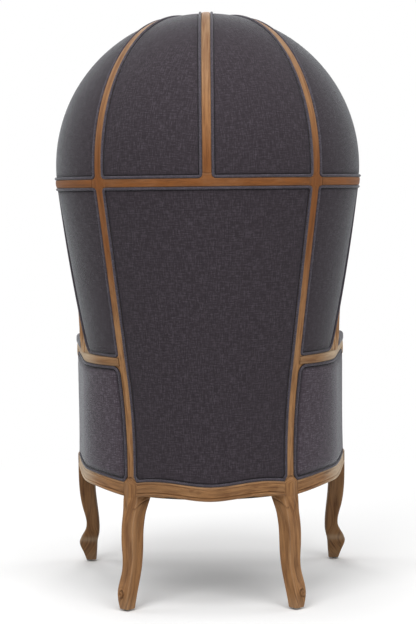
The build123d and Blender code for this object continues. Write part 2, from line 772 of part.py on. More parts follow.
hood_wood = shell(0, frame_depth)
save_pair("rear_post", rear_posts(hood_wood))
save("belt_rail_back", belt_back(hood_wood))
save_pair("belt_rail_side", belt_sides(hood_wood))
middle_rib, side_ribs = ribs(hood_wood)
save("dome_rib_middle", middle_rib)
save_pair("dome_rib", side_ribs)
stiles, arches = hood_front(hood_wood)
save_pair("hood_stile", stiles)
save_pair("hood_arch", arches)
save("crown_block", crown_block())
save_pair("arm_rail", arm_rails())
save_pair("arm_post", arm_posts())

rails = {"rear": rear_rail(), "side": side_rails()[0], "front": front_rail()}
blocks, all_screws = [], []
for leg_name, leg, corner in zip(("rear_leg", "front_leg"), (rear_leg(), front_leg()), corner_sets()):
    block = block_blank(*corner) - leg
    for rail in rails.values():
        block -= rail
    for screw in screws(*corner):
        leg -= screw
        block -= screw
        pair = both_sides(screw)
        rails = {rail_name: rail - pair[0] - pair[1] for rail_name, rail in rails.items()}
        all_screws += pair
    blocks += both_sides(block)
    save_pair(leg_name, both_sides(leg))
save("corner_blocks", *blocks)
save("corner_screws", *all_screws)
save("seat_rail_rear", rails["rear"])
save_pair("seat_rail_side", both_sides(rails["side"]))
save("seat_rail_front", rails["front"])
save("leg_glides", *glides())
save("seat_springs", *springs())
save("spring_clips", *clips())
save("seat_deck", inside_rails(deck_low_z, deck_top_z))
save("dust_cover", inside_rails(rail_low_z, rail_low_z + dust_cover_thickness))

skin, cord = shell(panel_sink, panel_thickness), shell(-welt_crown, welt_size - welt_crown)
back, back_welt = framed(back_opening, skin, cord)
save("back_panel", back)
save("back_welt", back_welt)
tub_skin = tub_band(panel_sink, panel_thickness, front_leg_y, shell_foot_z, arm_z)
tub_cord = tub_band(-welt_crown, welt_size - welt_crown, front_leg_y, shell_foot_z, arm_z)
for side_name, flip in (("left", as_it_is), ("right", to_the_right)):
    for panel_name, opening, skin_blank, cord_blank in (
        ("side", side_opening, skin, cord),
        ("arm", arm_opening, flip(tub_skin), flip(tub_cord)),
        ("dome_back", dome_back_opening, skin, cord),
        ("dome_side", dome_side_opening, skin, cord),
    ):
        panel, welt = framed(opening, skin_blank, cord_blank, flip)
        save(f"{panel_name}_panel_{side_name}", panel)
        save(f"{panel_name}_welt_{side_name}", welt)

save("inner_back", inner_back())
save_pair("inner_side", inner_sides())
save_pair("inner_arm", inner_arms())
save_pair("arm_pad", arm_pads())
save("dome_lining", dome_lining())
cushion_body, cushion_cords = cushion()
save("seat_cushion", cushion_body)
save("cushion_piping", *cushion_cords)
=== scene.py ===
import bpy
import numpy as np
from bpy.props import FloatProperty, FloatVectorProperty, PointerProperty
from mathutils import Matrix, Vector


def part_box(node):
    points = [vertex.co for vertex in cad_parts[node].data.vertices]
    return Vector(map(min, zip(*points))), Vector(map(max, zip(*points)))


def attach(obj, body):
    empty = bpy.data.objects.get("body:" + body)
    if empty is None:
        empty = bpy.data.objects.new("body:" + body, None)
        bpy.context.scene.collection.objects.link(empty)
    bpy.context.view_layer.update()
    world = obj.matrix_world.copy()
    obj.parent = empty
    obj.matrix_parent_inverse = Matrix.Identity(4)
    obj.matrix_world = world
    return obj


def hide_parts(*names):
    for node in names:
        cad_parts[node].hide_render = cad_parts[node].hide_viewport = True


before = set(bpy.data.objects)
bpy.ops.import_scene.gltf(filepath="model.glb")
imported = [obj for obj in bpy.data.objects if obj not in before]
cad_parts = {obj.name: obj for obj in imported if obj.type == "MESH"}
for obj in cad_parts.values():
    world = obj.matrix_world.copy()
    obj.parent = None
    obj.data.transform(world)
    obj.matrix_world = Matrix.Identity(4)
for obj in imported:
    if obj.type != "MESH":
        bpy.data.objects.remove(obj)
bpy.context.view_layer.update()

bl_info = {
    "name": "Hall porter chair",
    "version": (1, 0, 0),
    "blender": (4, 5, 0),
    "location": "View3D > Sidebar > Porter Chair",
    "description": "Builds the looks of a domed hall porter chair round its fixed frame",
    "category": "Add Mesh",
}

# Lengths are in metres and angles in radians. The shapes are worked out about the hood's own upright
# axis, which stands at HOOD_Y in the chair's frame. +X is the sitter's left.
HOOD_Y = -0.010
SHEET = 0.0001

# Hood
DOME_Z = 1.145
BEND_Z, BEND_REACH = 0.4825, 0.1147
POST_TURN = np.radians(42.7)
BELT_Z, BELT_TALL = 1.101, 0.021
HUB_STUB, CORNER, STILE_CORNER, ARM_CORNER = 0.013, 0.011, 0.034, 0.024
CROWN_Y, CROWN_R, CROWN_RISE, HOOD_FOOT_Y = -0.160, 0.058, 0.003, 0.0693
CROWN_RING_IN, CROWN_RING_CUT, CROWN_RING_WIDE = 0.008, 0.0006, 0.0012
ARCH_DEPTH, ARCH_THICK, WOOD_THICK = 0.030, 0.036, 0.028
STILE_FOOT, STILE_PROUD, STILE_FLUTE, FLUTE_PITCH, FLUTE_SLANT = 0.13, 0.011, 0.0016, 0.0105, 0.3

# Arms and tub
ARM_Z, ARM_TALL, ARM_WIDE, ARM_STEP, ARM_EDGE = 0.638, 0.022, 0.046, 0.003, 0.005
ARM_TURNS, ARM_BEND = np.radians([35.0, 83.0]), 0.262
SCROLL_Y, SCROLL_R, SCROLL_EDGE, SCROLL_CUT, SCROLL_PITCH = -0.272, 0.020, 0.0025, 0.0011, 0.0058
TUB_TURNS, TUB_BEND = np.radians([42.7, 82.5]), 0.430
ARM_POST_WIDE, ARM_POST_FOOT_Y, ARM_POST_TOP_Y, ARM_POST_BOW = 0.030, -0.322, -0.240, 0.026

# Seat frame and legs
RAIL_TOP, RAIL_TALL, RAIL_THICK, RAIL_PROUD, RAIL_WAVE = 0.318, 0.037, 0.028, 0.003, 0.010
RAIL_LOW = RAIL_TOP - RAIL_TALL
FRONT_RAIL_Y, FRONT_RAIL_BOW, APRON_DROP = -0.366, 0.026, 0.018
LEG_WIDE, NECK_TOP, LEG_FOOT = 0.048, 0.336, 0.005
FRONT_LEG = (0.36465, -0.350)
VOLUTE_X, VOLUTE_Z, VOLUTE_PITCH, VOLUTE_CUT = 0.006, 0.044, 0.0095, 0.0028
HOLLOW_CUT, RIB_PROUD, BESIDE_CUT, BEAD_PROUD = 0.0065, 0.0046, 0.0012, 0.0022
JOINT_CUT, JOINT_R = 0.0032, 0.0125
TOE_LEAF_CUT, TOE_LEAF_TALL, TOE_LEAF_Z, LEG_HOLLOW, RAIL_EDGE_RUB = 0.0014, 0.030, 0.052, 0.0022, 0.2
RAIL_BEAD, RAIL_GROOVE, RAIL_LINE, RAIL_COVE = 0.0026, 0.0020, 0.0014, 0.0008
# Heights between which a leg's carving rises and falls away again
HOLLOW_SPAN, RIB_SPAN = (0.060, 0.078, 0.105, 0.150), (0.226, 0.262, 0.318, 0.338)
BESIDE_SPAN = (0.232, 0.262, 0.305, 0.330)
RIB_TAPER, FOOT_WEAR, TOE_LEAF_SPAN = (0.232, 0.300), (0.005, 0.05), (0.016, 0.030, 0.062, 0.075)

# Upholstery
PAD_BACK, PAD_FACE, LINING_FACE, PAD_LOW, FIT = 0.0283, 0.0663, 0.0503, 0.3423, 0.0003
PANEL_THICK, PANEL_SUNK, PANEL_SLACK, PANEL_SHADE, WELT_SUNK = 0.009, 0.0036, 0.0007, 0.0048, 0.0013
PAD_ROLL, PAD_LIP, PAD_UNEVEN, PAD_SHADE = 0.030, 0.12, 0.02, 0.12
LINING_ROLL, LINING_LIP, LINING_UNEVEN, SEAM_WIDE, SEAM_DEPTH, SEAM_SHADE = 0.022, 0.12, 0.03, 0.007, 0.3, 0.006
ELBOW_BACK_Y, ELBOW_END_Y, ELBOW_TALL = 0.012, -0.205, 0.034
ELBOW_HALF, ELBOW_IN, ELBOW_END = 0.0268, 0.019, 0.14
CUSHION_TALL, CUSHION_WELT_IN, CUSHION_CORD, CUSHION_SWELL = 0.112, 0.0175, 0.0036, 0.0022
CUSHION_SHOULDER, CUSHION_UNDER, CUSHION_UNEVEN = 0.030, 0.012, 0.0018
CUSHION_EAR, CUSHION_GAP, CUSHION_TURN, CUSHION_CORNER = 0.034, 0.004, np.radians(59.0), 0.014
CUSHION_FRONT_Y, CUSHION_BOW_Y, CUSHION_MIDDLE_Y = -0.360, -0.386, -0.325
DECK_FRONT_Y, DECK_MIDDLE_Y, LEG_HEAD_ROOM = -0.346, -0.06, 0.0243


def linear(*rgb):
    """A colour given as it looks on a screen, from 0 to 255, as linear light."""
    c = np.array(rgb, float) / 255
    return tuple(np.where(c <= 0.04045, c / 12.92, ((c + 0.055) / 1.055) ** 2.4))


# Settings a user would change
def length(text, metres, low=0.001):
    """A size with its default in metres."""
    name = text.capitalize()
    return FloatProperty(name=name, description=f"The {text}", default=metres, min=low, unit="LENGTH")


def colour(text, *rgb):
    """A colour with its default as it looks on a screen."""
    return FloatVectorProperty(
        name=text.capitalize(), description=f"The colour of the {text}", default=linear(*rgb),
        size=3, min=0, max=1, subtype="COLOR",
    )


class PorterSizes(bpy.types.PropertyGroup):
    """Sizes of the chair's visible pieces."""

    dome_radius: length("radius of the dome", 0.412)
    seat_radius: length("radius of the hood at the seat", 0.309)
    strip_width: length("width of a wooden strip", 0.023)
    edge_round: length("rounding of the wood's edges", 0.0022, 0.0001)
    strip_crown: length("crown of a wooden strip", 0.0008, 0.0)
    welt_width: length("width of a welt", 0.0072)
    panel_crown: length("crown of an outside panel", 0.0055, 0.0)
    cushion_crown: length("crown of the seat cushion", 0.014, 0.0)
    thread: length("thread spacing of the linen", 0.0011, 0.0002)


class PorterFinishes(bpy.types.PropertyGroup):
    """Colours of the chair's finishes."""

    oak: colour("oak", 148, 108, 68)
    oak_stain: colour("stained oak round the belt", 117, 69, 27)
    oak_dark: colour("dark grain of the oak", 98, 62, 33)
    oak_worn: colour("worn oak", 186, 168, 142)
    leg_oak: colour("legs' oak", 143, 103, 64)
    linen: colour("linen", 68, 60, 67)
    linen_fleck: colour("linen's pale threads", 110, 103, 113)
    welt: colour("welts", 68, 63, 70)
    deck_cloth: colour("deck cloth", 62, 60, 64)
    dust_cloth: colour("dust cloth", 30, 30, 32)
    metal: colour("glides", 120, 124, 122)
    floor: colour("floor", 236, 236, 236)


def sizes():
    """The sizes in use."""
    return bpy.context.scene.porter_sizes


def finishes():
    """The colours in use."""
    return bpy.context.scene.porter_finishes


def half_strip():
    """Half a wooden strip's width."""
    return sizes().strip_width / 2


# Curves of one parameter
def smooth(x, knots, values):
    """A natural cubic spline: a tridiagonal system gives its second derivatives at the knots."""
    knots, values = np.asarray(knots, float), np.asarray(values, float)
    n, h = len(knots), np.diff(knots)
    system, right = np.eye(n), np.zeros(n)
    inner = np.arange(1, n - 1)
    for shift, weight in ((-1, h[:-1]), (0, 2 * (h[:-1] + h[1:])), (1, h[1:])):
        system[inner, inner + shift] = weight
    right[1:-1] = 6 * np.diff(np.diff(values) / h)
    bend = np.linalg.solve(system, right)
    x = np.clip(np.asarray(x, float), knots[0], knots[-1])
    i = np.clip(np.searchsorted(knots, x) - 1, 0, n - 2)
    a, b, h = knots[i + 1] - x, x - knots[i], h[i]
    cubic = (bend[i] * a**3 + bend[i + 1] * b**3) / (6 * h)
    return cubic + (values[i] / h - bend[i] * h / 6) * a + (values[i + 1] / h - bend[i + 1] * h / 6) * b


def fillet(distance, radius):
    """How much a rounded inside corner widens a strip at a distance from its other edge: a quarter circle."""
    left = np.clip(radius - distance, 0, radius)
    return radius - np.sqrt(radius**2 - left**2)


def ease(x, low, high):
    """From 0 at low to 1 at high, on 3t^2 - 2t^3."""
    t = np.clip((x - low) / (high - low), 0, 1)
    return t * t * (3 - 2 * t)


def fade(x, start, end):
    """From 1 at start to 0 at end, on the same curve."""
    return ease(-x, -end, -start)


def between(x, low, full, fading, end):
    """Eases up from 0 at low to 1 at full, and down again from fading to end."""
    return ease(x, low, full) * fade(x, fading, end)


def bell(x, middle, wide):
    """1 at the middle and falling off on both sides: e^(-((x - middle) / wide)^2)."""
    return np.exp(-(((x - middle) / wide) ** 2))


def quarter(x):
    """A quarter circle that rises from 0 to 1 as x does."""
    return np.sqrt(1 - (1 - np.clip(x, 0, 1)) ** 2)


def round_square(k, power):
    """A rounded square's radius at an angle: (|cos|^power + |sin|^power)^(-1 / power)."""
    return (np.abs(np.cos(k)) ** power + np.abs(np.sin(k)) ** power) ** (-1 / power)


def waves(x, pitch, turned=0.0):
    """A cosine, `pitch` long, moved on by an angle."""
    return np.cos(2 * np.pi * x / pitch - turned)


def full_turn(count):
    """Even angles round a circle."""
    return np.linspace(0, 2 * np.pi, count + 1)[:-1]


def unit(ways):
    """Directions with a length of 1."""
    return ways / np.linalg.norm(ways, axis=-1, keepdims=True)


def crowded(edge, count):
    """Places from 0 to 1: the edge's own, evenly spaced ones between, and the edge's mirrored at the end."""
    return np.concatenate([edge, np.linspace(edge[-1], 1 - edge[-1], count)[1:-1], 1 - edge[::-1]])


def shrinking(count, power):
    """Shares from 0 to 1 whose steps get smaller: 1 - (1 - t)^power."""
    return 1 - (1 - np.linspace(0, 1, count)) ** power


def ripple(points, pitch, seed):
    """Slow unevenness from -1 to 1: three sines of the place, each a pitch long, turned by seeded angles."""
    rng = np.random.default_rng(seed)
    turn, start = rng.normal(size=(3, 3)), rng.uniform(0, 2 * np.pi, 3)
    return np.sin(points @ unit(turn).T * (2 * np.pi / pitch) + start).mean(-1)


def halve(low, high, inside, rounds):
    """Halves each span from low to high until it holds the end of what is inside."""
    for _ in range(rounds):
        middle = (low + high) / 2
        within = inside(middle)
        low, high = np.where(within, middle, low), np.where(within, high, middle)
    return low


def point(*parts):
    """Points from their coordinates, which spread over one another."""
    return np.stack(np.broadcast_arrays(*parts), -1)


# Hood surface
def flare():
    """The bell's angle: the line from the bend's corner that touches the dome's circle."""
    s, rise = sizes(), DOME_Z - BEND_Z
    touch = np.arccos(s.dome_radius / np.hypot(s.seat_radius, rise))
    return np.pi / 2 - np.arctan2(s.seat_radius, rise) - touch


def hood_radius(z, inset=0.0):
    """The hood's radius at height z, moved in: upright, then an arc, then a cone, then the dome's circle."""
    s, tilt = sizes(), flare()
    dome, foot = s.dome_radius - inset, s.seat_radius - inset
    join_r, join_z = dome * np.cos(tilt), DOME_Z - dome * np.sin(tilt)
    corner_z = join_z - (join_r - foot) / np.tan(tilt)
    bend = BEND_REACH / np.tan(tilt / 2) + inset
    reach = bend * np.tan(tilt / 2)
    low, high = corner_z - reach, corner_z + reach * np.cos(tilt)
    arc = foot + bend - np.sqrt(bend**2 - np.clip(z - low, 0, bend / 2) ** 2)
    cone = join_r - (join_z - z) * np.tan(tilt)
    ball = np.sqrt(np.clip(dome**2 - (z - DOME_Z) ** 2, 0, None))
    return np.select([z < low, z < high, z < join_z], [foot + 0 * z, arc, cone], ball)


def on_hood(azimuth, z, inset=0.0):
    """A point of the hood: its radius at z, turned by the azimuth from +Y towards +X."""
    r = hood_radius(z, inset)
    return point(r * np.sin(azimuth), r * np.cos(azimuth), z)


def lean():
    """The cosine and sine of the hood front's lean, and the height of the crown."""
    crown_z = DOME_Z + np.sqrt(sizes().dome_radius ** 2 - CROWN_Y**2)
    angle = np.arctan2(HOOD_FOOT_Y - CROWN_Y, crown_z - ARM_Z)
    return np.cos(angle), np.sin(angle), crown_z


def front_y(z, behind):
    """The y at height z of the plane that lies `behind` the hood's front face."""
    c, s, crown_z = lean()
    return CROWN_Y + (behind - ARCH_DEPTH / 2 - s * (z - crown_z)) / c


def behind_front(p):
    """How far points lie behind the hood's front face."""
    c, s, crown_z = lean()
    return c * (p[..., 1] - CROWN_Y) + s * (p[..., 2] - crown_z) + ARCH_DEPTH / 2


def from_crown(p):
    """How far points lie from the crown in plan."""
    return np.hypot(p[..., 0], p[..., 1] - CROWN_Y)


def across_post(p):
    """How far points lie in front of the middle of the post on their own side."""
    return np.abs(p[..., 0]) * np.cos(POST_TURN) - p[..., 1] * np.sin(POST_TURN)


def rib_turn():
    """The plan direction from the crown to the left post's head."""
    r = sizes().dome_radius
    return np.arctan2(r * np.sin(POST_TURN), r * np.cos(POST_TURN) - CROWN_Y)


def across_rib(p):
    """How far points lie in front of the middle of the left rib."""
    return p[..., 0] * np.cos(rib_turn()) - (p[..., 1] - CROWN_Y) * np.sin(rib_turn())


# Tub surface
def plan_line(s, inset, radius, turns, bend, end_y):
    """The tub's plan line: behind the post for s below 0, an arc up to 1, then straight to end_y at 2."""
    first, last = turns
    heading = first + (last - first) * np.clip(s, 0, 1)
    start = np.array([np.sin(POST_TURN), np.cos(POST_TURN)]) * (radius + ARM_STEP)
    cx, cy = start[0] - bend * np.sin(first), start[1] - bend * np.cos(first)
    x, y = cx + (bend - inset) * np.sin(heading), cy + (bend - inset) * np.cos(heading)
    lead = np.clip(s, None, 0) * 2 * sizes().strip_width
    end = np.clip(s - 1, 0, None) * (cy + (bend - inset) * np.cos(last) - end_y) / np.sin(last)
    x = x + lead * np.cos(first) + end * np.cos(last)
    y = y - lead * np.sin(first) - end * np.sin(last)
    return x, y


def arm_line(s, inset, end_y=FRONT_LEG[1]):
    """The tub's plan line at the arm."""
    tilt, r = flare(), sizes().dome_radius
    radius = r / np.cos(tilt) - (DOME_Z - ARM_Z) * np.tan(tilt)
    return plan_line(s, inset, radius, ARM_TURNS, ARM_BEND, end_y)


def rail_line(s, inset, end_y=FRONT_LEG[1]):
    """The tub's plan line at the seat rail."""
    return plan_line(s, inset, sizes().seat_radius, TUB_TURNS, TUB_BEND, end_y)


def beside_post(half, inset, turns, bend):
    """Where a plan line starts that keeps half a strip's width away from the middle of the post."""
    tilt = POST_TURN - turns[0]
    return (half - inset * np.sin(tilt)) / np.cos(tilt) / (bend * (turns[1] - turns[0]))


def straight_at(line, y, inset):
    """Where a plan line's straight part reaches y."""
    start = line(np.ones_like(inset), inset)[1]
    return 1 + (start - y) / (start - FRONT_LEG[1])


def on_tub(s, z, inset=0.0):
    """A point of the tub's wall: straight from the rail's plan line to the arm's, and flush with the post."""
    low_x, low_y = rail_line(s, inset)
    top_x, top_y = arm_line(s, inset)
    foot, top = RAIL_LOW, ARM_Z
    t = (z - foot) / (top - foot)
    low_r, top_r = hood_radius(foot + 0 * z), hood_radius(top + 0 * z)
    straight = low_r + t * (top_r - low_r) + ARM_STEP
    off = (straight - hood_radius(z) - 0.001) * fade(s, 0.02, 0.75)
    x, y = low_x + t * (top_x - low_x), low_y + t * (top_y - low_y)
    return point(x - off * np.sin(POST_TURN), y - off * np.cos(POST_TURN), z)


def tub_at_y(y, z, inset=0.0):
    """Where the tub's straight part reaches y at a height."""
    start = on_tub(np.ones_like(y * z * inset), z, inset)[..., 1]
    return 1 + (start - y) / (start - FRONT_LEG[1])


def arm_post_y(z):
    """The swept front edge of the arm post: a spline of y over height."""
    low, share, bow = RAIL_LOW, np.array([0, 0.35, 0.8, 1.0]), np.array([0, 1.0, 0, -0.3])
    y = ARM_POST_FOOT_Y + share * (ARM_POST_TOP_Y - ARM_POST_FOOT_Y) + bow * ARM_POST_BOW
    return smooth(z, low + share * (ARM_Z - low), y)


def side_wave(y):
    """The side rail's serpentine height over y."""
    run = sizes().seat_radius * np.cos(POST_TURN) - FRONT_LEG[1]
    return RAIL_WAVE * smooth((y - FRONT_LEG[1]) / run, [0, 0.42, 0.78, 1], [0.5, 0, 1, 0])


def rear_wave(x):
    """The rear rail's serpentine height over x."""
    half = sizes().seat_radius * np.sin(POST_TURN)
    return RAIL_WAVE * smooth(x / half, [-1, -0.7, 0, 0.7, 1], [0, 1, 0, 1, 0])


# Meshes from arrays
def make_mesh(name, points, faces, uv, worn):
    """A mesh of the points, with one UV for each corner of each face and each point's wear and painted shade.
    """
    mesh = bpy.data.meshes.new(name)
    mesh.from_pydata((points + (0, HOOD_Y, 0)).tolist(), [], faces)
    layer = mesh.uv_layers.new(name="surface")
    layer.data.foreach_set("uv", uv.astype(np.float32).ravel())
    attribute = mesh.attributes.new("worn", "FLOAT", "POINT")
    attribute.data.foreach_set("value", worn.astype(np.float32))
    mesh.polygons.foreach_set("use_smooth", np.ones(len(mesh.polygons), bool))
    mesh.set_sharp_from_angle(angle=np.radians(50))
    obj = bpy.data.objects.new(name, mesh)
    bpy.context.scene.collection.objects.link(obj)
    return obj


def volume(points, quads):
    """Six times the volume that quads enclose: the sum over their triangles of a . (b x c)."""
    a, b, c, d = (points[quads[:, i]] for i in range(4))
    return np.sum(a * np.cross(b, c)) + np.sum(a * np.cross(c, d))


def wrap(grid):
    """A grid with its first column again at its end."""
    return np.concatenate([grid, grid[:, :1]], 1)


def skin(name, grid, uv, worn=0.0, ends="pole", sign=1):
    """A closed skin on a grid whose columns go round. Its ends are drawn to poles, capped flat or joined.

    A pole's row is one point, with triangles round it. The UV grid has one more column than the points, and
    one more row where the ends join. Wear and painted shade spread over the grid, and a sign of -1 mirrors the
    piece.
    """
    rows, columns = grid.shape[:2]
    index = np.arange(rows * columns).reshape(rows, columns)
    if ends == "pole":
        index = np.clip(index - columns + 1, 0, (rows - 2) * columns + 1)
    kept = np.unique(index, return_index=True)[1]
    points = (grid * (sign, 1, 1)).reshape(-1, 3)[kept]
    worn = np.broadcast_to(worn, (rows, columns)).ravel()[kept]
    if ends == "join":
        index = np.concatenate([index, index[:1]])
    after = np.roll(index, -1, 1)
    quads = np.stack([index[:-1], after[:-1], after[1:], index[1:]], -1)
    corners = np.stack([uv[:-1, :-1], uv[:-1, 1:], uv[1:, 1:], uv[1:, :-1]], 2)
    parts = [(quads, corners)]
    if ends == "pole":
        fans = (0, [0, 2, 3]), (-1, [3, 0, 1])
        fans = [(quads[row][:, order], corners[row][:, order]) for row, order in fans]
        parts = [(quads[1:-1], corners[1:-1]), *fans]
    elif ends == "cap":
        parts += [(index[:1, ::-1], uv[:1, -2::-1]), (index[-1:], uv[-1:, :-1])]
    parts = [(f.reshape(-1, f.shape[-1]), spots.reshape(-1, f.shape[-1], 2)) for f, spots in parts]
    if volume(points - points.mean(0), parts[0][0]) < 0:
        parts = [(f[:, ::-1], spots[:, ::-1]) for f, spots in parts]
    faces = sum((f.tolist() for f, _ in parts), [])
    return make_mesh(name, points, faces, np.concatenate([spots.reshape(-1, 2) for _, spots in parts]), worn)


def lengths(points, axis):
    """The running length along one axis of a grid of points, starting from 0."""
    step = np.linalg.norm(np.diff(points, axis=axis), axis=-1)
    zero = np.zeros_like(np.take(step, [0], axis=axis))
    return np.cumsum(np.concatenate([zero, step], axis=axis), axis=axis)


def round_length(line):
    """The running length round a closed line, from 0 at its start to its whole length there again."""
    return lengths(np.concatenate([line, line[:1]]), 0)


def dress(piece, slot, key, *nodes, body="frame", fill=None):
    """Gives a piece its finish and its body, and lets it stand for its nodes. Its fill is not used."""
    piece.data.materials.append(finish(key))
    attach(piece, body)
    if nodes:
        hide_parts(*nodes)


def pair(name, make, slot, key, *nodes, fill=None):
    """Makes a left piece and its mirror image, each standing for its own nodes, which end in _left."""
    for side, sign in (("left", 1), ("right", -1)):
        dress(make(f"{name}_{side}", sign), slot, key, *[f"{n}_{side}" for n in nodes], fill=fill)


# Wooden boards on a surface
def hollow_shade(relief):
    """How much painted shade a moulding's hollows get: in step with their depth."""
    return 0.8 * np.clip(-relief - 0.0003, 0, None) / 0.0016


def board(
    name, place, s, low, high, depth, sign=1, worn=0.0, relief=np.zeros_like, stain=None, edge=None, face=9,
    rub=0.06, crown=1.0,
):
    """A board whose section runs round: a side, a rounded edge, a crowned face, a rounded edge and a side.

    place(s, across, inset) gives a point. Across runs from low to high, both given for each s. The face
    rises by crown (1 - v^2), v being -1 to 1 across it, and by what relief(v) says. Rub is how pale its edges
    are. The relief's hollows get painted shade, and so do the places where stain(s, across) says.
    """
    e = sizes().edge_round if edge is None else edge
    turn = np.linspace(0, np.pi / 2, 5)
    over, down = e * (1 - np.cos(turn)), e * (1 - np.sin(turn))
    w = np.linspace(0, 1, face)[1:-1]
    v = 2 * w - 1
    share = np.concatenate([np.zeros(6), w, np.ones(6)])
    shift = np.concatenate([[0], over, e * (1 - 2 * w), -over[::-1], [0]])
    rise = crown * sizes().strip_crown * (1 - v**2) + relief(v)
    inset = np.concatenate([[depth], down, -rise, down[::-1], [depth]])
    s = np.asarray(s, float)[:, None]
    low, high = (np.broadcast_to(end, len(s))[:, None] for end in (low, high))
    across = low + share * (high - low) + shift
    grid = place(s, across, inset + 0 * s)
    side = np.append(0.0, np.full(5, rub))
    worn = np.reshape(worn, (-1, 1)) + np.concatenate([
        side, rub / 2 * np.abs(v) ** 6 - hollow_shade(relief(v)), side[::-1],
    ])
    # Painted shade on the face where stain(s, across) says
    if stain:
        worn = worn - stain(s, across) * (inset < 0)
    closed = wrap(grid)
    uv = point(lengths(closed, 0).mean(1, keepdims=True), lengths(closed, 1))
    return skin(name, grid, uv, np.clip(worn, -1, 2), "cap", sign)


def stations(low, high, count, *marks, reach=0.014):
    """Even places from low to high, with more on both sides of each mark, where an outline changes fast."""
    near = reach * np.linspace(0, 1, 9) ** 1.6 + SHEET / 10
    every = [np.linspace(low, high, count)] + [m + side * near for m in marks for side in (-1, 1)]
    every = np.concatenate(every)
    return np.unique(every[(every >= low) & (every <= high)])


def hub(z):
    """How much a strip widens at the belt rail: a stub beside it and a rounded corner above and below."""
    off = np.abs(z - BELT_Z) - BELT_TALL / 2
    return np.where(off < 0, HUB_STUB, fillet(off, CORNER))


HUB_TOP = BELT_Z + BELT_TALL / 2 + HUB_STUB
ARM_TOP, ARM_LOW = ARM_Z + ARM_TALL / 2, ARM_Z - ARM_TALL / 2
BELT_LOW, BELT_HIGH = BELT_Z - BELT_TALL / 2, BELT_Z + BELT_TALL / 2


def rear_post(name, sign):
    """The post: a strip up the hood at the post's azimuth, wider at the arm rail and at the belt rail."""
    z = stations(NECK_TOP, HUB_TOP, 60, BELT_LOW, BELT_HIGH, ARM_TOP, ARM_LOW, reach=0.024)
    low = -(half_strip() + hub(z))
    high = half_strip() + hub(z) + np.where(z > ARM_TOP, fillet(z - ARM_TOP, CORNER), 0)
    high = high + np.where(z < ARM_LOW, fillet(ARM_LOW - z, ARM_CORNER), 0)

    def place(z, across, inset):
        return on_hood(POST_TURN + np.arcsin(across / hood_radius(z, inset)), z, inset)

    return board(name, place, z, low, high, WOOD_THICK, sign)


def belt_back(name):
    """The belt rail between the posts, with a stub in the middle for the rib."""
    half = half_strip()

    def reach(z, inset=0.0):
        return POST_TURN - np.arcsin((half + HUB_STUB) / hood_radius(z, inset))

    end = hood_radius(BELT_Z) * reach(BELT_Z)
    s = stations(-end, end, 60, -half, half)
    stub = np.where(np.abs(s) < half, HUB_STUB, fillet(np.abs(s) - half, CORNER))

    def place(s, across, inset):
        return on_hood(s / end * reach(BELT_Z + across, inset), BELT_Z + across, inset)

    return board(name, place, s, -BELT_TALL / 2, BELT_TALL / 2 + stub, WOOD_THICK)


def belt_side(name, sign):
    """The belt rail from the post's hub to the hood's leaning front."""

    def place(s, across, inset):
        z = BELT_Z + across
        r = hood_radius(z, inset)
        start = POST_TURN + np.arcsin((half_strip() + HUB_STUB) / r)
        end = np.arccos(front_y(z, ARCH_DEPTH + HUB_STUB) / r)
        return on_hood(start + s * (end - start), z, inset)

    return board(name, place, np.linspace(0, 1, 36), -BELT_TALL / 2, BELT_TALL / 2, WOOD_THICK, sign)


def rib(name, sign, turn):
    """A rib from the belt rail to the crown: the dome's section by upright planes through the crown."""
    middle_t, middle_w = -CROWN_Y * np.cos(turn), CROWN_Y * np.sin(turn)

    def place(s, across, inset):
        r = np.sqrt((sizes().dome_radius - inset) ** 2 - (across - middle_w) ** 2)
        start = np.arccos((HUB_TOP - DOME_Z) / r)
        end = np.arcsin((np.sqrt(CROWN_R**2 - across**2) - middle_t) / r)
        angle = start + s * (end - start)
        t, z = middle_t + r * np.sin(angle), DOME_Z + r * np.cos(angle)
        x, y = t * np.sin(turn) + across * np.cos(turn), t * np.cos(turn) - across * np.sin(turn) + CROWN_Y
        return point(x, y, z)

    return board(name, place, np.linspace(0, 1, 70), -half_strip(), half_strip(), WOOD_THICK, sign)


def hood_arch(name, sign):
    """Half of the hood's arch: the dome's section by the leaning planes, from the crown to the belt rail."""
    c, n, crown_z = lean()
    off = -c * CROWN_Y + n * (DOME_Z - crown_z)

    def place(s, across, inset):
        r = np.sqrt((sizes().dome_radius - inset) ** 2 - (across - off) ** 2)
        y0, z0 = c * (across - off), DOME_Z + n * (across - off)
        start = np.arcsin(np.sqrt(CROWN_R**2 - across**2) / r)
        end = np.arccos((HUB_TOP - z0) / (r * c))
        angle = start + s * (end - start)
        return point(r * np.sin(angle), y0 - n * r * np.cos(angle), z0 + c * r * np.cos(angle))

    return board(name, place, np.linspace(0, 1, 60), -ARCH_DEPTH / 2, ARCH_DEPTH / 2, ARCH_THICK, sign)


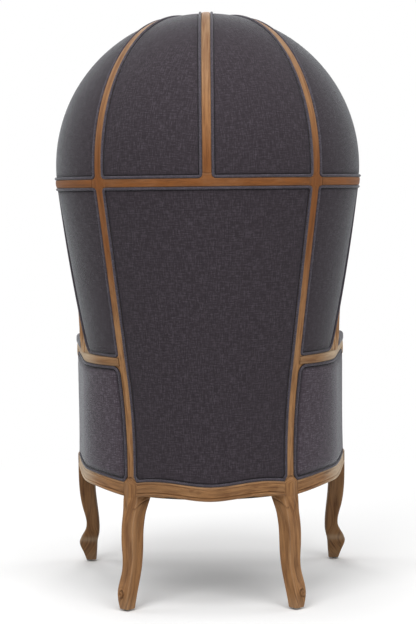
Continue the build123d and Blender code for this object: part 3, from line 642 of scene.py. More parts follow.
def hood_stile(name, sign):
    """The hood's leaning stile, wider at the belt rail and the arm rail, with slanting flutes at its foot."""
    z = stations(ARM_TOP, HUB_TOP, 60, BELT_LOW, BELT_HIGH, ARM_TOP, reach=0.036)
    wide = ARCH_DEPTH / 2 + hub(z) + fillet(z - ARM_TOP, STILE_CORNER)

    def flutes(z, across):
        return waves(across - FLUTE_SLANT * (z - ARM_TOP), FLUTE_PITCH)

    def place(z, across, inset):
        foot = ease(ARM_TOP + STILE_FOOT - z, 0, STILE_FOOT) * (inset < ARCH_THICK / 2)
        flute = STILE_FLUTE * flutes(z, across) * foot * (inset < 0)
        proud = STILE_PROUD * foot * fade(across, -0.006, 0.022)
        y = front_y(z, across + ARCH_DEPTH / 2)
        return point(np.sqrt(hood_radius(z, inset - proud - flute) ** 2 - y**2), y, z)

    # Painted shade in the flutes' hollows near the stile's foot
    def stain(z, across):
        foot = ease(ARM_TOP + STILE_FOOT * 0.7 - z, 0, STILE_FOOT * 0.5)
        return 1.3 * foot * np.clip(-flutes(z, across), 0, 1)

    bleached = 0.85 * fade(z, ARM_TOP, ARM_TOP + 0.06)
    return board(name, place, z, -ARCH_DEPTH / 2, wide, ARCH_THICK, sign, bleached, stain=stain, face=41)


def arm_rail(name, sign):
    """The arm rail along the tub's plan line, from the post's side to the roll at its front end."""

    def place(s, across, inset):
        first = beside_post(half_strip(), inset, ARM_TURNS, ARM_BEND)
        x, y = arm_line(first + s * (straight_at(arm_line, SCROLL_Y, inset) - first), inset)
        flush = (ARM_STEP - 0.0004) * fade(s, 0, 0.12) * (inset < ARM_WIDE / 2)
        return point(x - flush * np.sin(POST_TURN), y - flush * np.cos(POST_TURN), ARM_Z + across)

    s = np.linspace(0, 1, 90)
    worn = 0.05 + 0.85 * ease(s, 0.14, 0.42)
    return board(name, place, s, -ARM_TALL / 2, ARM_TALL / 2, ARM_WIDE, sign, worn, edge=ARM_EDGE)


def scroll(name, sign):
    """The roll at the arm's front end: a drum across the arm with a spiral cut in each face.

    The face's depth is a cosine of the radius in pitches less the angle, so its crests follow a spiral.
    """
    outer, inner = (arm_line(straight_at(arm_line, SCROLL_Y, inset), inset)[0] for inset in (0.0, ARM_WIDE))
    half, e = (outer - inner) / 2 + 0.001, SCROLL_EDGE
    angle = full_turn(72)
    turn = np.linspace(0, np.pi / 2, 5)[1:, None]
    face = np.linspace(0, 1, 22)[:, None] * (SCROLL_R - e)
    spiral = waves(face, SCROLL_PITCH, angle) * between(face, 0.001, 0.005, SCROLL_R - 0.006, SCROLL_R - 0.002)
    spiral = SCROLL_CUT * (spiral - 1)
    r = np.concatenate([face, SCROLL_R - e + e * np.sin(turn)]) + 0 * angle
    x = np.concatenate([half + spiral, half - e + e * np.cos(turn) - 0.0004 + 0 * angle])
    r, x = np.concatenate([r, r[::-1]]), np.concatenate([x, -x[::-1]])
    y, z = SCROLL_Y + r * np.cos(angle), ARM_TOP - SCROLL_R + r * np.sin(angle)
    grid = point((outer + inner) / 2 + x, y, z)
    closed = wrap(grid)
    uv = point(np.append(angle, 2 * np.pi) * SCROLL_R, closed[..., 0] + lengths(closed, 0))
    return skin(name, grid, uv, 0.9, sign=sign)


def arm_post(name, sign):
    """The swept support under the arm: a board in the tub's wall between two curves of y over height."""

    def place(s, across, inset):
        guess = RAIL_TOP + s * (ARM_LOW - RAIL_TOP)
        base = RAIL_TOP + side_wave(arm_post_y(guess) + across)
        z = base + s * (ARM_LOW - base)
        return on_tub(tub_at_y(arm_post_y(z) + across, z, inset), z, inset)

    return board(name, place, np.linspace(0, 1, 50), 0, ARM_POST_WIDE, RAIL_THICK, sign, 0.5)


def rail_moulding(v):
    """A rail's face: a bead along its lower edge, a groove over it, a cove, and a fine line near its top."""
    bead = RAIL_BEAD * np.sqrt(np.clip(1 - ((v + 0.86) / 0.16) ** 2, 0, 1))
    cut = RAIL_GROOVE * bell(v, -0.60, 0.07) + RAIL_LINE * bell(v, 0.74, 0.06)
    cove = RAIL_COVE * np.cos(np.clip(v, -0.6, 0.6) / 0.6 * np.pi / 2) ** 2
    return np.where(np.abs(v) >= 1, 0.0, bead - cut - cove)


def rail(name, place, s, depth, sign=1, worn=0.0, rub=RAIL_EDGE_RUB, crown=1.0):
    """A moulded seat rail: a board as tall as the rails."""
    looks = {"relief": rail_moulding, "face": 33, "rub": rub, "crown": crown}
    return board(name, place, s, 0, RAIL_TALL, depth, sign, worn, **looks)


def rail_rear(name):
    """The serpentine rear rail, a little proud of the hood's foot."""
    r = sizes().seat_radius + RAIL_PROUD
    end = POST_TURN - np.arcsin(LEG_WIDE / 2 / r)

    def place(s, across, inset):
        angle = s / end * (POST_TURN - np.arcsin(LEG_WIDE / 2 / (r - inset)))
        x, y = (r - inset) * np.sin(angle), (r - inset) * np.cos(angle)
        return point(x, y, RAIL_LOW + rear_wave(x) + across)

    return rail(name, place, np.linspace(-end, end, 80), RAIL_THICK + RAIL_PROUD, rub=0.15)


def rail_side(name, sign):
    """The serpentine side rail along the tub's lower plan line, between the legs' heads."""

    def place(s, across, inset):
        first = beside_post(LEG_WIDE / 2, inset, TUB_TURNS, TUB_BEND)
        last = straight_at(rail_line, FRONT_LEG[1] + LEG_WIDE / 2, inset)
        x, y = rail_line(first + s * (last - first), inset)
        return point(x, y, RAIL_LOW + side_wave(y) + across)

    s = np.linspace(0, 1, 110)
    return rail(name, place, s, RAIL_THICK, sign, 1.1 * ease(s, 0.15, 0.45))


def rail_front(name):
    """The bowed front rail with its shaped lower edge."""
    half, end = FRONT_LEG[0] - LEG_WIDE / 2, rail_line(np.array(2.0), 0.0, FRONT_RAIL_Y)[0]
    knots, drops = [-1, -0.72, -0.36, 0, 0.36, 0.72, 1], [0, 0.45, -0.35, -1, -0.35, 0.45, 0]

    def place(s, across, inset):
        low = RAIL_LOW + APRON_DROP * smooth(s / FRONT_LEG[0], knots, drops)
        y = FRONT_RAIL_Y - FRONT_RAIL_BOW * (1 - (s / end) ** 2) + inset
        return point(s, y, low + across / RAIL_TALL * (RAIL_TOP - low))

    return rail(name, place, np.linspace(-half, half, 110), RAIL_THICK, crown=0.0)


def crown_block(name):
    """The block at the crown: a disc behind the hood's front, a little over the dome, with a fine ring."""
    place = on_dome_round((0, CROWN_Y, np.sqrt(sizes().dome_radius ** 2 - CROWN_Y**2)))

    def field(p):
        return np.minimum(CROWN_R - from_crown(p), behind_front(p))

    p, q, near = rings(place, field, 0.0, 160, 0.12, shrinking(14, 1.7))
    ring = CROWN_RING_CUT * bell(near, CROWN_RING_IN, CROWN_RING_WIDE)
    rise = CROWN_RISE * quarter(near / CROWN_RISE) - ring
    return two_faced(name, p, q, place(p, q, -rise), place(p, q, WOOD_THICK), np.exp(-near / 0.003), 0)


# Legs
def leg(name, sign, z, x, y, half_a, half_b, turn, carve):
    """A leg through rounded squares, its faces hollowed by cos^2 of twice the angle.

    carve(z, k) gives how deep each face is cut at a height and an angle, and how worn it is there.
    """
    k = full_turn(96) + np.pi
    x, y, z, half_a, half_b = (part[:, None] for part in (x, y, z, half_a, half_b))
    square, middle = round_square(k, 8.0), np.cos(2 * k) ** 2
    cut, worn = carve(z, k)
    a, b = (half_a * square - cut * middle) * np.cos(k), (half_b * square - cut * middle) * np.sin(k)
    grid = point(x + a * np.sin(turn) + b * np.cos(turn), y + a * np.cos(turn) - b * np.sin(turn), z)
    worn = np.clip(np.exp(-middle / 0.012) * 0.18 + worn, -1, 2)
    return skin(name, grid, point(z, lengths(wrap(grid), 1)), worn, "cap", sign)


def leg_rows(top):
    """Heights of a leg's rows and their levels from foot to head, closer together at its toe and its head."""
    ends, counts = [LEG_FOOT, LEG_FOOT + 0.09, RAIL_LOW - 0.02, RAIL_LOW + 0.006, top], [50, 50, 24, 46]
    z = np.unique(np.concatenate([np.linspace(*span) for span in zip(ends, ends[1:], counts)]))
    return z, (z - LEG_FOOT) / (RAIL_LOW - LEG_FOOT)


def rear_leg(name, sign):
    """The rear leg: it sweeps back to a rolled toe, and over its square head a neck narrows to the post."""
    z, level = leg_rows(NECK_TOP)
    levels = [0.0, 0.16, 0.33, 0.55, 0.71, 1.0]
    radial = sizes().seat_radius - LEG_WIDE / 2
    half = LEG_WIDE / 2 * smooth(level, levels, [0.62, 0.83, 0.81, 0.90, 0.93, 1])
    half = half + 0.0035 * ease(z, 0.235, 0.285)
    neck = ease(z, RAIL_TOP - 0.004, NECK_TOP)
    r = radial + (sizes().seat_radius - WOOD_THICK / 2 - radial) * neck
    x = r * np.sin(POST_TURN) + 0.025 * smooth(level, levels, [1, 0.95, 0.57, 0.48, 0.47, 0])
    y = r * np.cos(POST_TURN) + 0.096 * smooth(level, levels, [1, 0.93, 0.70, 0.50, 0.35, 0])

    def carve(z, k):
        """On the outer face a volute with a hollow over it, a tapering rib and a round-headed joint.

        On the face toward the rear rail, the rail's bead curls down to the arris.
        """
        across = 0.020 * np.clip(np.tan(k), -1, 1)
        eye_x, eye_z = across - VOLUTE_X, z - VOLUTE_Z
        r, angle = np.hypot(eye_x, eye_z), np.arctan2(eye_z, eye_x)
        volute = -VOLUTE_CUT * waves(r, VOLUTE_PITCH, angle) * fade(r, 0.013, 0.018)
        hollow = bell(across, VOLUTE_X, 0.008) * between(z, *HOLLOW_SPAN)
        taper = ease(z, *RIB_TAPER)
        rib = RIB_PROUD * bell(across, 0, 0.0015 + 0.008 * taper) * between(z, *RIB_SPAN)
        beside = bell(np.abs(across), 0.004 + 0.012 * taper, 0.0022) * between(z, *BESIDE_SPAN)
        round_head = JOINT_R - np.sqrt(np.clip(JOINT_R**2 - (0.60 * across) ** 2, 0, None))
        joint = JOINT_CUT * bell(z, NECK_TOP - 0.003 - 0.9 * round_head, 0.0020)
        curl = (1 + np.clip(np.cos(k) / np.clip(np.abs(np.sin(k)), 0.1, 1), -1, 1)) / 2
        off = z - (RAIL_LOW - 0.001 - 0.020 * curl**2)
        bead = bell(off, -0.006, 0.0024) - bell(off, 0, 0.0030)
        outer, inner = np.cos(k) > 0.55, np.sin(k) < -0.55
        cut = (volute + HOLLOW_CUT * hollow - rib + joint + BESIDE_CUT * beside) * outer
        body = LEG_HOLLOW * between(z, 0.045, 0.10, RAIL_LOW - 0.05, RAIL_LOW - 0.004)
        # Painted shade: the volute's cut, the joint's line, the cut beside the rib, the hollow and the rail's
        # bead are darkened
        left = (np.clip(volute + joint + 0.0018 * beside, 0, None) / 0.0030 + 0.5 * hollow) * outer
        left = left + np.clip(bead, 0, None) * inner
        return cut + BEAD_PROUD * bead * inner + body, 0.12 * fade(z, *FOOT_WEAR) - 0.85 * left

    half_a, half_b = half + (WOOD_THICK / 2 - half) * neck, half + (half_strip() - half) * neck
    return leg(name, sign, z, x, y, half_a, half_b, POST_TURN, carve)


def front_leg(name, sign):
    """The front leg: a knee, a thin ankle and a hooked toe, all on the corner's diagonal."""
    z, level = leg_rows(RAIL_TOP)
    levels = [0, 0.10, 0.20, 0.25, 0.35, 0.55, 0.71, 1]
    dip = 0.016 * smooth(level, levels, [0.64, 0.34, 0.16, 0.47, 0.98, 0.56, 0.12, 0])
    half = LEG_WIDE / 2 * smooth(level, levels, [0.58, 0.86, 1.07, 1.01, 0.80, 0.88, 0.95, 1])

    def carve(z, k):
        """A leaf rolled over the toe, on the corner's side."""
        leaf = TOE_LEAF_CUT * waves(z - TOE_LEAF_Z, TOE_LEAF_TALL)
        leaf = leaf * between(z, *TOE_LEAF_SPAN) * np.clip(np.cos(k - np.pi / 4 * 3), 0, 1)
        body = 0.002 * between(z, 0.075, 0.12, RAIL_LOW - 0.05, RAIL_LOW - 0.004)
        return body - leaf, 0.45 * bell(z, 0.066, 0.008) + 0.15 * fade(z, *FOOT_WEAR)

    return leg(name, sign, z, FRONT_LEG[0] - dip, FRONT_LEG[1] + dip, half, half, 0.0, carve)


# Openings, and the panels and welts that fill them
def rounded(a, b, radius):
    """How far inside two edges a point is, with their corner rounded: r - sqrt((r-a)+^2 + (r-b)+^2)."""
    return radius - np.hypot(np.clip(radius - a, 0, None), np.clip(radius - b, 0, None))


def beside_neck(side, z):
    """How far a point is from the rear leg's sloping neck."""
    wide = LEG_WIDE / 2
    run, rise = wide - half_strip(), NECK_TOP - RAIL_TOP
    return ((side - wide) * rise + (z - RAIL_TOP) * run) / np.hypot(run, rise)


def back_field(p):
    """How far inside the back opening a point is."""
    side, z = -across_post(p), p[..., 2]
    top = rounded(side - half_strip(), BELT_LOW - z, CORNER)
    return np.minimum.reduce([top, z - RAIL_TOP - rear_wave(p[..., 0]), beside_neck(side, z)])


def side_field(p):
    """How far inside the hood's side opening a point is."""
    post, front = across_post(p) - half_strip(), behind_front(p) - ARCH_DEPTH
    top, low = BELT_LOW - p[..., 2], p[..., 2] - ARM_TOP
    corners = (post, top, CORNER), (front, top, CORNER), (post, low, CORNER), (front, low, STILE_CORNER)
    return np.minimum.reduce([rounded(*corner) for corner in corners])


def arm_field(p):
    """How far inside the tub's opening a point is."""
    side, y, z = across_post(p), p[..., 1], p[..., 2]
    top, front = rounded(side - half_strip(), ARM_LOW - z, ARM_CORNER), y - arm_post_y(z) - ARM_POST_WIDE
    return np.minimum.reduce([top, front, z - RAIL_TOP - side_wave(y), beside_neck(side, z)])


def dome_field(edge_a, edge_b, p):
    """How far inside one of the dome's openings a point is, given its distances inside the two long edges."""
    low = p[..., 2] - BELT_HIGH
    corners = [rounded(edge, low, CORNER) for edge in (edge_a, edge_b)]
    return np.minimum.reduce([*corners, from_crown(p) - CROWN_R])


def dome_back_field(p):
    """How far inside the opening between the middle rib and the left rib a point is."""
    return dome_field(p[..., 0] - half_strip(), -across_rib(p) - half_strip(), p)


def dome_side_field(p):
    """How far inside the opening between the left rib and the hood's arch a point is."""
    return dome_field(across_rib(p) - half_strip(), behind_front(p) - ARCH_DEPTH, p)


def on_hood_round(azimuth, z0):
    """Places p across and q up from a point of the hood."""
    r0 = hood_radius(z0)
    return lambda p, q, inset: on_hood(azimuth + p / r0, z0 + q, inset)


def on_tub_round(s0, z0, per_s):
    """Places p along and q up from a point of the tub."""
    return lambda p, q, inset: on_tub(s0 + p / per_s, z0 + q, inset)


def on_dome_round(direction):
    """Places on the dome by angle a and distance d from a way c: R (cos d c + sin d (cos a e1 + sin a e2))."""
    c = unit(np.array(direction))
    e1 = unit(np.cross(c, (0, 0, 1.0)))
    e2 = np.cross(e1, c)

    def place(p, q, inset):
        radius = sizes().dome_radius
        d = np.hypot(p, q) / radius
        share = np.sinc(d / np.pi) / radius
        way = np.cos(d)[..., None] * c + (share * p)[..., None] * e1 + (share * q)[..., None] * e2
        return (radius - inset + 0 * p)[..., None] * way + (0, 0, DOME_Z)

    return place


def rim(place, field, inset, count, reach):
    """The opening's outline, `inset` inside it, as places p and q in its chart.

    Along each of many rays, halving finds where the field falls to the inset. The points are then spread by
    length and by how much the outline turns, so corners keep their roundness.
    """
    angle = full_turn(2400)
    c, s = np.cos(angle), np.sin(angle)
    step = np.linspace(0, reach, 200)[1:, None]
    inside = field(place(step * c, step * s, 0 * step * c)) > inset
    if inside.all(axis=0).any():
        raise RuntimeError("an opening reaches past the rays that measure it")
    high = step[np.argmin(inside, axis=0), 0]
    low = halve(high - step[0], high, lambda r: field(place(r * c, r * s, 0 * c)) > inset, 24)
    points = place(low * c, low * s, 0 * c)
    run = np.roll(points, -1, 0) - points
    size = np.linalg.norm(run, axis=1)
    way = run / size[:, None]
    turn = np.arccos(np.clip(np.sum(way * np.roll(way, 1, 0), 1), -1, 1))
    measure = np.concatenate([[0], np.cumsum(size / size.sum() + 0.6 * turn / turn.sum())])
    at = np.linspace(0, measure[-1], count + 1)[:-1]
    angle = np.interp(at, measure, np.append(angle, 2 * np.pi))
    r = np.interp(at, measure, np.append(low, low[0]))
    return r * np.cos(angle), r * np.sin(angle)


def rings(place, field, inset, count, reach, share):
    """Places p and q on rings out to an opening's outline, and how far inside it they are."""
    p, q = (share[:, None] * part for part in rim(place, field, inset, count, reach))
    return p, q, np.clip(field(place(p, q, 0 * p)) - inset, 0, None)


def two_faced(name, p, q, front, back, worn, wear_and_shade_behind, sign=1):
    """A closed skin whose front and back share their rings, with p and q as its UV."""
    flat = wrap(point(p, q)) * (sign, 1)
    worn = np.concatenate([worn + 0 * p, wear_and_shade_behind + 0 * p])
    grid, uv = np.concatenate([front, back[::-1]]), np.concatenate([flat, flat[::-1]])
    return skin(name, grid, uv, worn, sign=sign)


def panel(name, sign, place, field, reach, seed, fuller=1.0, firm=0.032):
    """An outside panel: sunk at its rim and crowned by 1 - e^(-distance / firm)."""
    edge = sizes().welt_width + FIT
    p, q, deep = rings(place, field, edge, 230, reach, shrinking(26, 1.8))
    slack = PANEL_SLACK * ripple(place(p, q, 0 * p), 0.16, seed) * (1 - np.exp(-deep / 0.03))
    rise = fuller * sizes().panel_crown * (1 - np.exp(-deep / firm)) - PANEL_SUNK + slack
    front, back = place(p, q, -rise), place(p, q, PANEL_THICK + 0 * p)
    # Painted shade where the panel dips into its seam; the hidden back is fully shaded
    return two_faced(name, p, q, front, back, bell(deep, 0, PANEL_SHADE), 1, sign)


def tube(name, line, normal, radius, count, sign=1):
    """A round cord along a closed line: centre + r (cos a normal + sin a across)."""
    way = unit(np.roll(line, -1, 0) - np.roll(line, 1, 0))
    side = unit(np.cross(way, normal))
    out, a = np.cross(side, way), full_turn(count)[:, None]
    grid = line[:, None] + radius * (np.cos(a) * out[:, None] + np.sin(a) * side[:, None])
    uv = point(round_length(line)[:, None], np.linspace(0, 2 * np.pi * radius, count + 1))
    return skin(name, grid, uv, ends="join", sign=sign)


def welt(name, sign, place, field, reach):
    """A welt: a covered cord along the opening's outline, a little proud of the wood."""
    radius = sizes().welt_width / 2
    p, q = rim(place, field, FIT + radius, 420, reach)
    normal = unit(place(p, q, 0 * p) - place(p, q, 0.002 + 0 * p))
    return tube(name, place(p, q, WELT_SUNK + 0 * p), normal, radius, 14, sign)


# Inside upholstery
def rolled(u, metres):
    """A pad's thickness from 0 at its ends to 1: a quarter circle of the distance to the nearer end."""
    return quarter(np.minimum(u, 1 - u) * metres / PAD_ROLL)


def pad(name, sign, place, wide, tall, seed):
    """A pad on a surface: over a patch (u, v) its thickness is the product of the rolls at its edges.

    Its back lies flat on the surface at PAD_BACK.
    """
    edge = np.linspace(0, 1, 9) ** 2 * 0.08
    u, v = np.meshgrid(crowded(edge, 26), crowded(edge, 40), indexing="ij")
    roll = rolled(u, wide) * rolled(v, tall)
    back = place(u, v, PAD_BACK + 0 * u)
    full = PAD_LIP + (1 - PAD_LIP) * roll + PAD_UNEVEN * ripple(back, 0.21, seed) * roll
    front = place(u, v, PAD_BACK + (PAD_FACE - PAD_BACK) * np.clip(full, PAD_LIP / 2, 1))
    flat = point(u * wide, v * tall)
    uv = wrap(np.concatenate([flat, flat[:, ::-1]], 1))
    # Painted shade where the pad rolls down to its edges; the hidden back is fully shaded
    worn = np.concatenate([np.exp(-roll / PAD_SHADE), 1 + 0 * roll], 1)
    return skin(name, np.concatenate([front, back[:, ::-1]], 1), uv, worn, "cap", sign)


def on_inner_back(u, v, inset):
    """The hood's inside between the posts."""
    return on_hood((2 * u - 1) * (POST_TURN - 0.0008), PAD_LOW + v * (BELT_Z - PAD_LOW), inset)


def on_inner_side(u, v, inset):
    """The hood's inside from the post to the leaning front."""
    z = PAD_LOW + v * (BELT_Z - PAD_LOW)
    end = np.arccos(front_y(z, ARCH_DEPTH + FIT) / hood_radius(z, inset))
    return on_hood(POST_TURN + u * (end - POST_TURN), z, inset)


def on_inner_arm(u, v, inset):
    """The tub's inside from the hood's leaning front to the arm post."""
    z = PAD_LOW + v * (ARM_LOW - FIT - PAD_LOW)
    start = halve(0 * z, 1.5 + 0 * z, lambda s: behind_front(on_tub(s, z, inset)) >= ARCH_DEPTH, 22)
    end = tub_at_y(arm_post_y(z) + ARM_POST_WIDE + FIT, z, inset)
    return on_tub(start + u * (end - start), z, inset)


def dome_lining(name):
    """The dome's padded lining: rings on the sphere's inside, drawn in along seams under the ribs."""
    place = on_dome_round((0, 0.5, 0.85))

    def field(p):
        return np.minimum(p[..., 2] - BELT_Z, behind_front(p) - ARCH_DEPTH) - FIT

    back = lambda p, q, inset: place(p, q, PAD_BACK + inset)
    p, q, near = rings(back, field, 0.0, 260, 0.9, shrinking(60, 1.25))
    outer = place(p, q, PAD_BACK)
    seam = bell(outer[..., 0], 0, SEAM_WIDE)
    for side in (-1, 1):
        below_rib = bell(across_rib(outer * (side, 1, 1)), 0, SEAM_WIDE) * (side * outer[..., 0] > 0)
        seam = np.maximum(seam, below_rib)
    full = LINING_LIP + (1 - LINING_LIP) * quarter(near / LINING_ROLL) - SEAM_DEPTH * seam
    full = full + LINING_UNEVEN * ripple(outer, 0.2, 5)
    inner = place(p, q, PAD_BACK + (LINING_FACE - PAD_BACK) * np.clip(full, 0.06, 1))
    # Painted shade along the seams under the ribs and round the rim
    return two_faced(name, p, q, inner, outer, np.maximum(0.7 * seam, np.exp(-near / SEAM_SHADE)), 1)


def arm_pad(name, sign):
    """The elbow rest: rounded sections along the arm, flat below, drawn in at both ends."""
    u = crowded(np.sin(np.linspace(0, np.pi / 2, 14)) * ELBOW_END, 40)[:, None]
    k = full_turn(48)
    end = np.clip(np.minimum(u, 1 - u) / ELBOW_END, 0, 1)
    size, section = np.sqrt(np.clip(1 - (1 - end) ** 3, 0, 1)), round_square(k, 3.4)
    inset = ELBOW_IN + ELBOW_HALF * size * section * np.cos(k)
    tall = np.where(np.sin(k) > 0, size**0.6, np.clip(size * 3, 0, 1))
    z = ARM_TOP + FIT + ELBOW_TALL / 2 * (1 + tall * section * np.sin(k))
    y = ELBOW_BACK_Y + u * (ELBOW_END_Y - ELBOW_BACK_Y)
    grid = point(*arm_line(straight_at(arm_line, y, inset), inset), z)
    closed = wrap(grid)
    return skin(name, grid, point(closed[..., 1], lengths(closed, 1)), sign=sign)


# Seat
def arc_through(x, y_end, y_middle, count):
    """A plan arc from (x, y_end) over (0, y_middle) to (-x, y_end)."""
    rise = y_middle - y_end
    r = (x * x + rise * rise) / (2 * abs(rise))
    a = np.linspace(1, -1, count) * np.arcsin(x / r)
    return point(r * np.sin(a), y_middle - np.sign(rise) * r * (1 - np.cos(a)))


def plan_outline(r, turn, left, front_middle, steps, count, soften):
    """A plan outline at even steps: a round back, the left side, a bowed front and the mirrored side.

    Its corners are softened by averaging along it.
    """
    back = arc_through(r * np.sin(turn), r * np.cos(turn), r, steps)[::-1]
    front = arc_through(*left[-1], front_middle, steps)[1:-1]
    points = np.concatenate([back, left, front, (left * (-1, 1))[::-1]])
    at = round_length(points)
    points = np.concatenate([points, points[:1]])
    t = np.linspace(0, at[-1], 4 * count + 1)[:-1]
    line = point(*(np.interp(t, at, part) for part in points.T))
    reach = max(1, int(soften / (at[-1] / len(line))))
    weight = np.hanning(2 * reach + 3)
    line = np.concatenate([line[-reach - 1 :], line, line[: reach + 1]])
    return point(*(np.convolve(part, weight / weight.sum(), "valid") for part in line.T))[::4]


def cushion_outline(count):
    """The cushion's plan: a round back, sides inside the arms, and an ear before each arm post."""
    inset = PAD_FACE + CUSHION_GAP
    ear_y = ARM_POST_FOOT_Y + ARM_POST_BOW - 0.010
    bend, run = (point(*rail_line(s, inset)) for s in (np.array(1.0), straight_at(rail_line, ear_y, inset)))
    tip = run[0] + CUSHION_EAR
    left = np.array([bend, run, (tip, ear_y), (tip, CUSHION_FRONT_Y)])
    r = sizes().seat_radius - inset
    return plan_outline(r, CUSHION_TURN, left, CUSHION_BOW_Y, 40, count, CUSHION_CORNER)


def plan_rings(line, middle_y, share):
    """Rings from a plan's middle to its outline, and how far each place is from the outline."""
    centre = np.array([0.0, middle_y])
    plan = centre + share[:, None, None] * (line - centre)
    near = np.linalg.norm(plan[:, :, None, :] - line[None, None, ::2], axis=-1).min(-1)
    near[-1] = 0
    return plan, near


def raised(plan, z):
    """Plan places at a height."""
    return point(plan[..., 0], plan[..., 1], z)


def seat_cushion(name):
    """The loose seat cushion: crowned faces over a boxed side that swells a little between its two welts."""
    low, high = PAD_LOW + CUSHION_WELT_IN, PAD_LOW + CUSHION_TALL - CUSHION_WELT_IN
    line = cushion_outline(400)
    plan, near = plan_rings(line, CUSHION_MIDDLE_Y, shrinking(40, 1.35))
    swell = 1 - np.exp(-near / CUSHION_SHOULDER)
    uneven = CUSHION_UNEVEN * ripple(raised(plan, 0.0), 0.25, 3) * swell
    top = high + (CUSHION_WELT_IN + sizes().cushion_crown) * swell + uneven
    bottom = low - (CUSHION_WELT_IN - 0.0002) * (1 - np.exp(-near / CUSHION_UNDER))
    wall = np.linspace(0, 1, 12)[1:-1, None]
    way = unit(np.roll(line, -1, 0) - np.roll(line, 1, 0))
    out = point(way[:, 1], -way[:, 0])
    out *= np.sign(np.sum(out * (line - (0, CUSHION_MIDDLE_Y)), 1).mean())
    side = line + CUSHION_SWELL * np.sin(np.pi * wall)[..., None] * out
    wall_z = high + wall * (low - high)
    grid = np.concatenate([raised(plan, top), raised(side, wall_z), raised(plan, bottom)[::-1]])
    face_uv = wrap(plan)
    uv = np.concatenate([face_uv, point(round_length(line), wall_z), face_uv[::-1]])
    # Painted shade round the faces' edges, by the welts
    seam = np.exp(-near / SEAM_SHADE)
    return skin(name, grid, uv, np.concatenate([seam, np.zeros(side.shape[:2]), seam[::-1]]))


def cushion_welt(name, z):
    """A welt round the cushion at one height."""
    line = raised(cushion_outline(420), z)
    return tube(name, line, np.broadcast_to((0, 0, 1.0), line.shape), CUSHION_CORD, 12)


def inside_rails_outline():
    """The plan inside the seat rails, cut round the legs' heads."""
    inset, room = PAD_BACK, LEG_HEAD_ROOM
    r, out = sizes().seat_radius - inset, np.array([np.sin(POST_TURN), np.cos(POST_TURN)])
    head = (sizes().seat_radius - LEG_WIDE - FIT) * out
    side = point(*rail_line(np.linspace(0, 2, 60), inset))
    side = side[(across_post(raised(side, 0.0)) > room) & (side[:, 1] > FRONT_LEG[1] + room)]
    beside = room * np.array([out[1], -out[0]])
    x, y = FRONT_LEG[0] - room, FRONT_LEG[1] + room
    left = np.concatenate([[head - beside, head + beside], side, [(x, y), (x, DECK_FRONT_Y)]])
    turn = POST_TURN - np.arcsin(room / r)
    return plan_outline(r, turn, left, FRONT_RAIL_Y - FRONT_RAIL_BOW + inset, 30, 300, 0.003)


def flat_piece(name, outline, low, high, edge):
    """A flat padded or thin piece on a plan outline, its rim rounded by `edge`."""
    plan, near = plan_rings(outline, DECK_MIDDLE_Y, shrinking(14, 1.6))
    half = (high - low) / 2 * (0.3 + 0.7 * quarter(near / edge))
    top, bottom = ((low + high) / 2 + half, (low + high) / 2 - half)
    return two_faced(name, *np.moveaxis(plan, -1, 0), raised(plan, top), raised(plan, bottom), 0, 0)


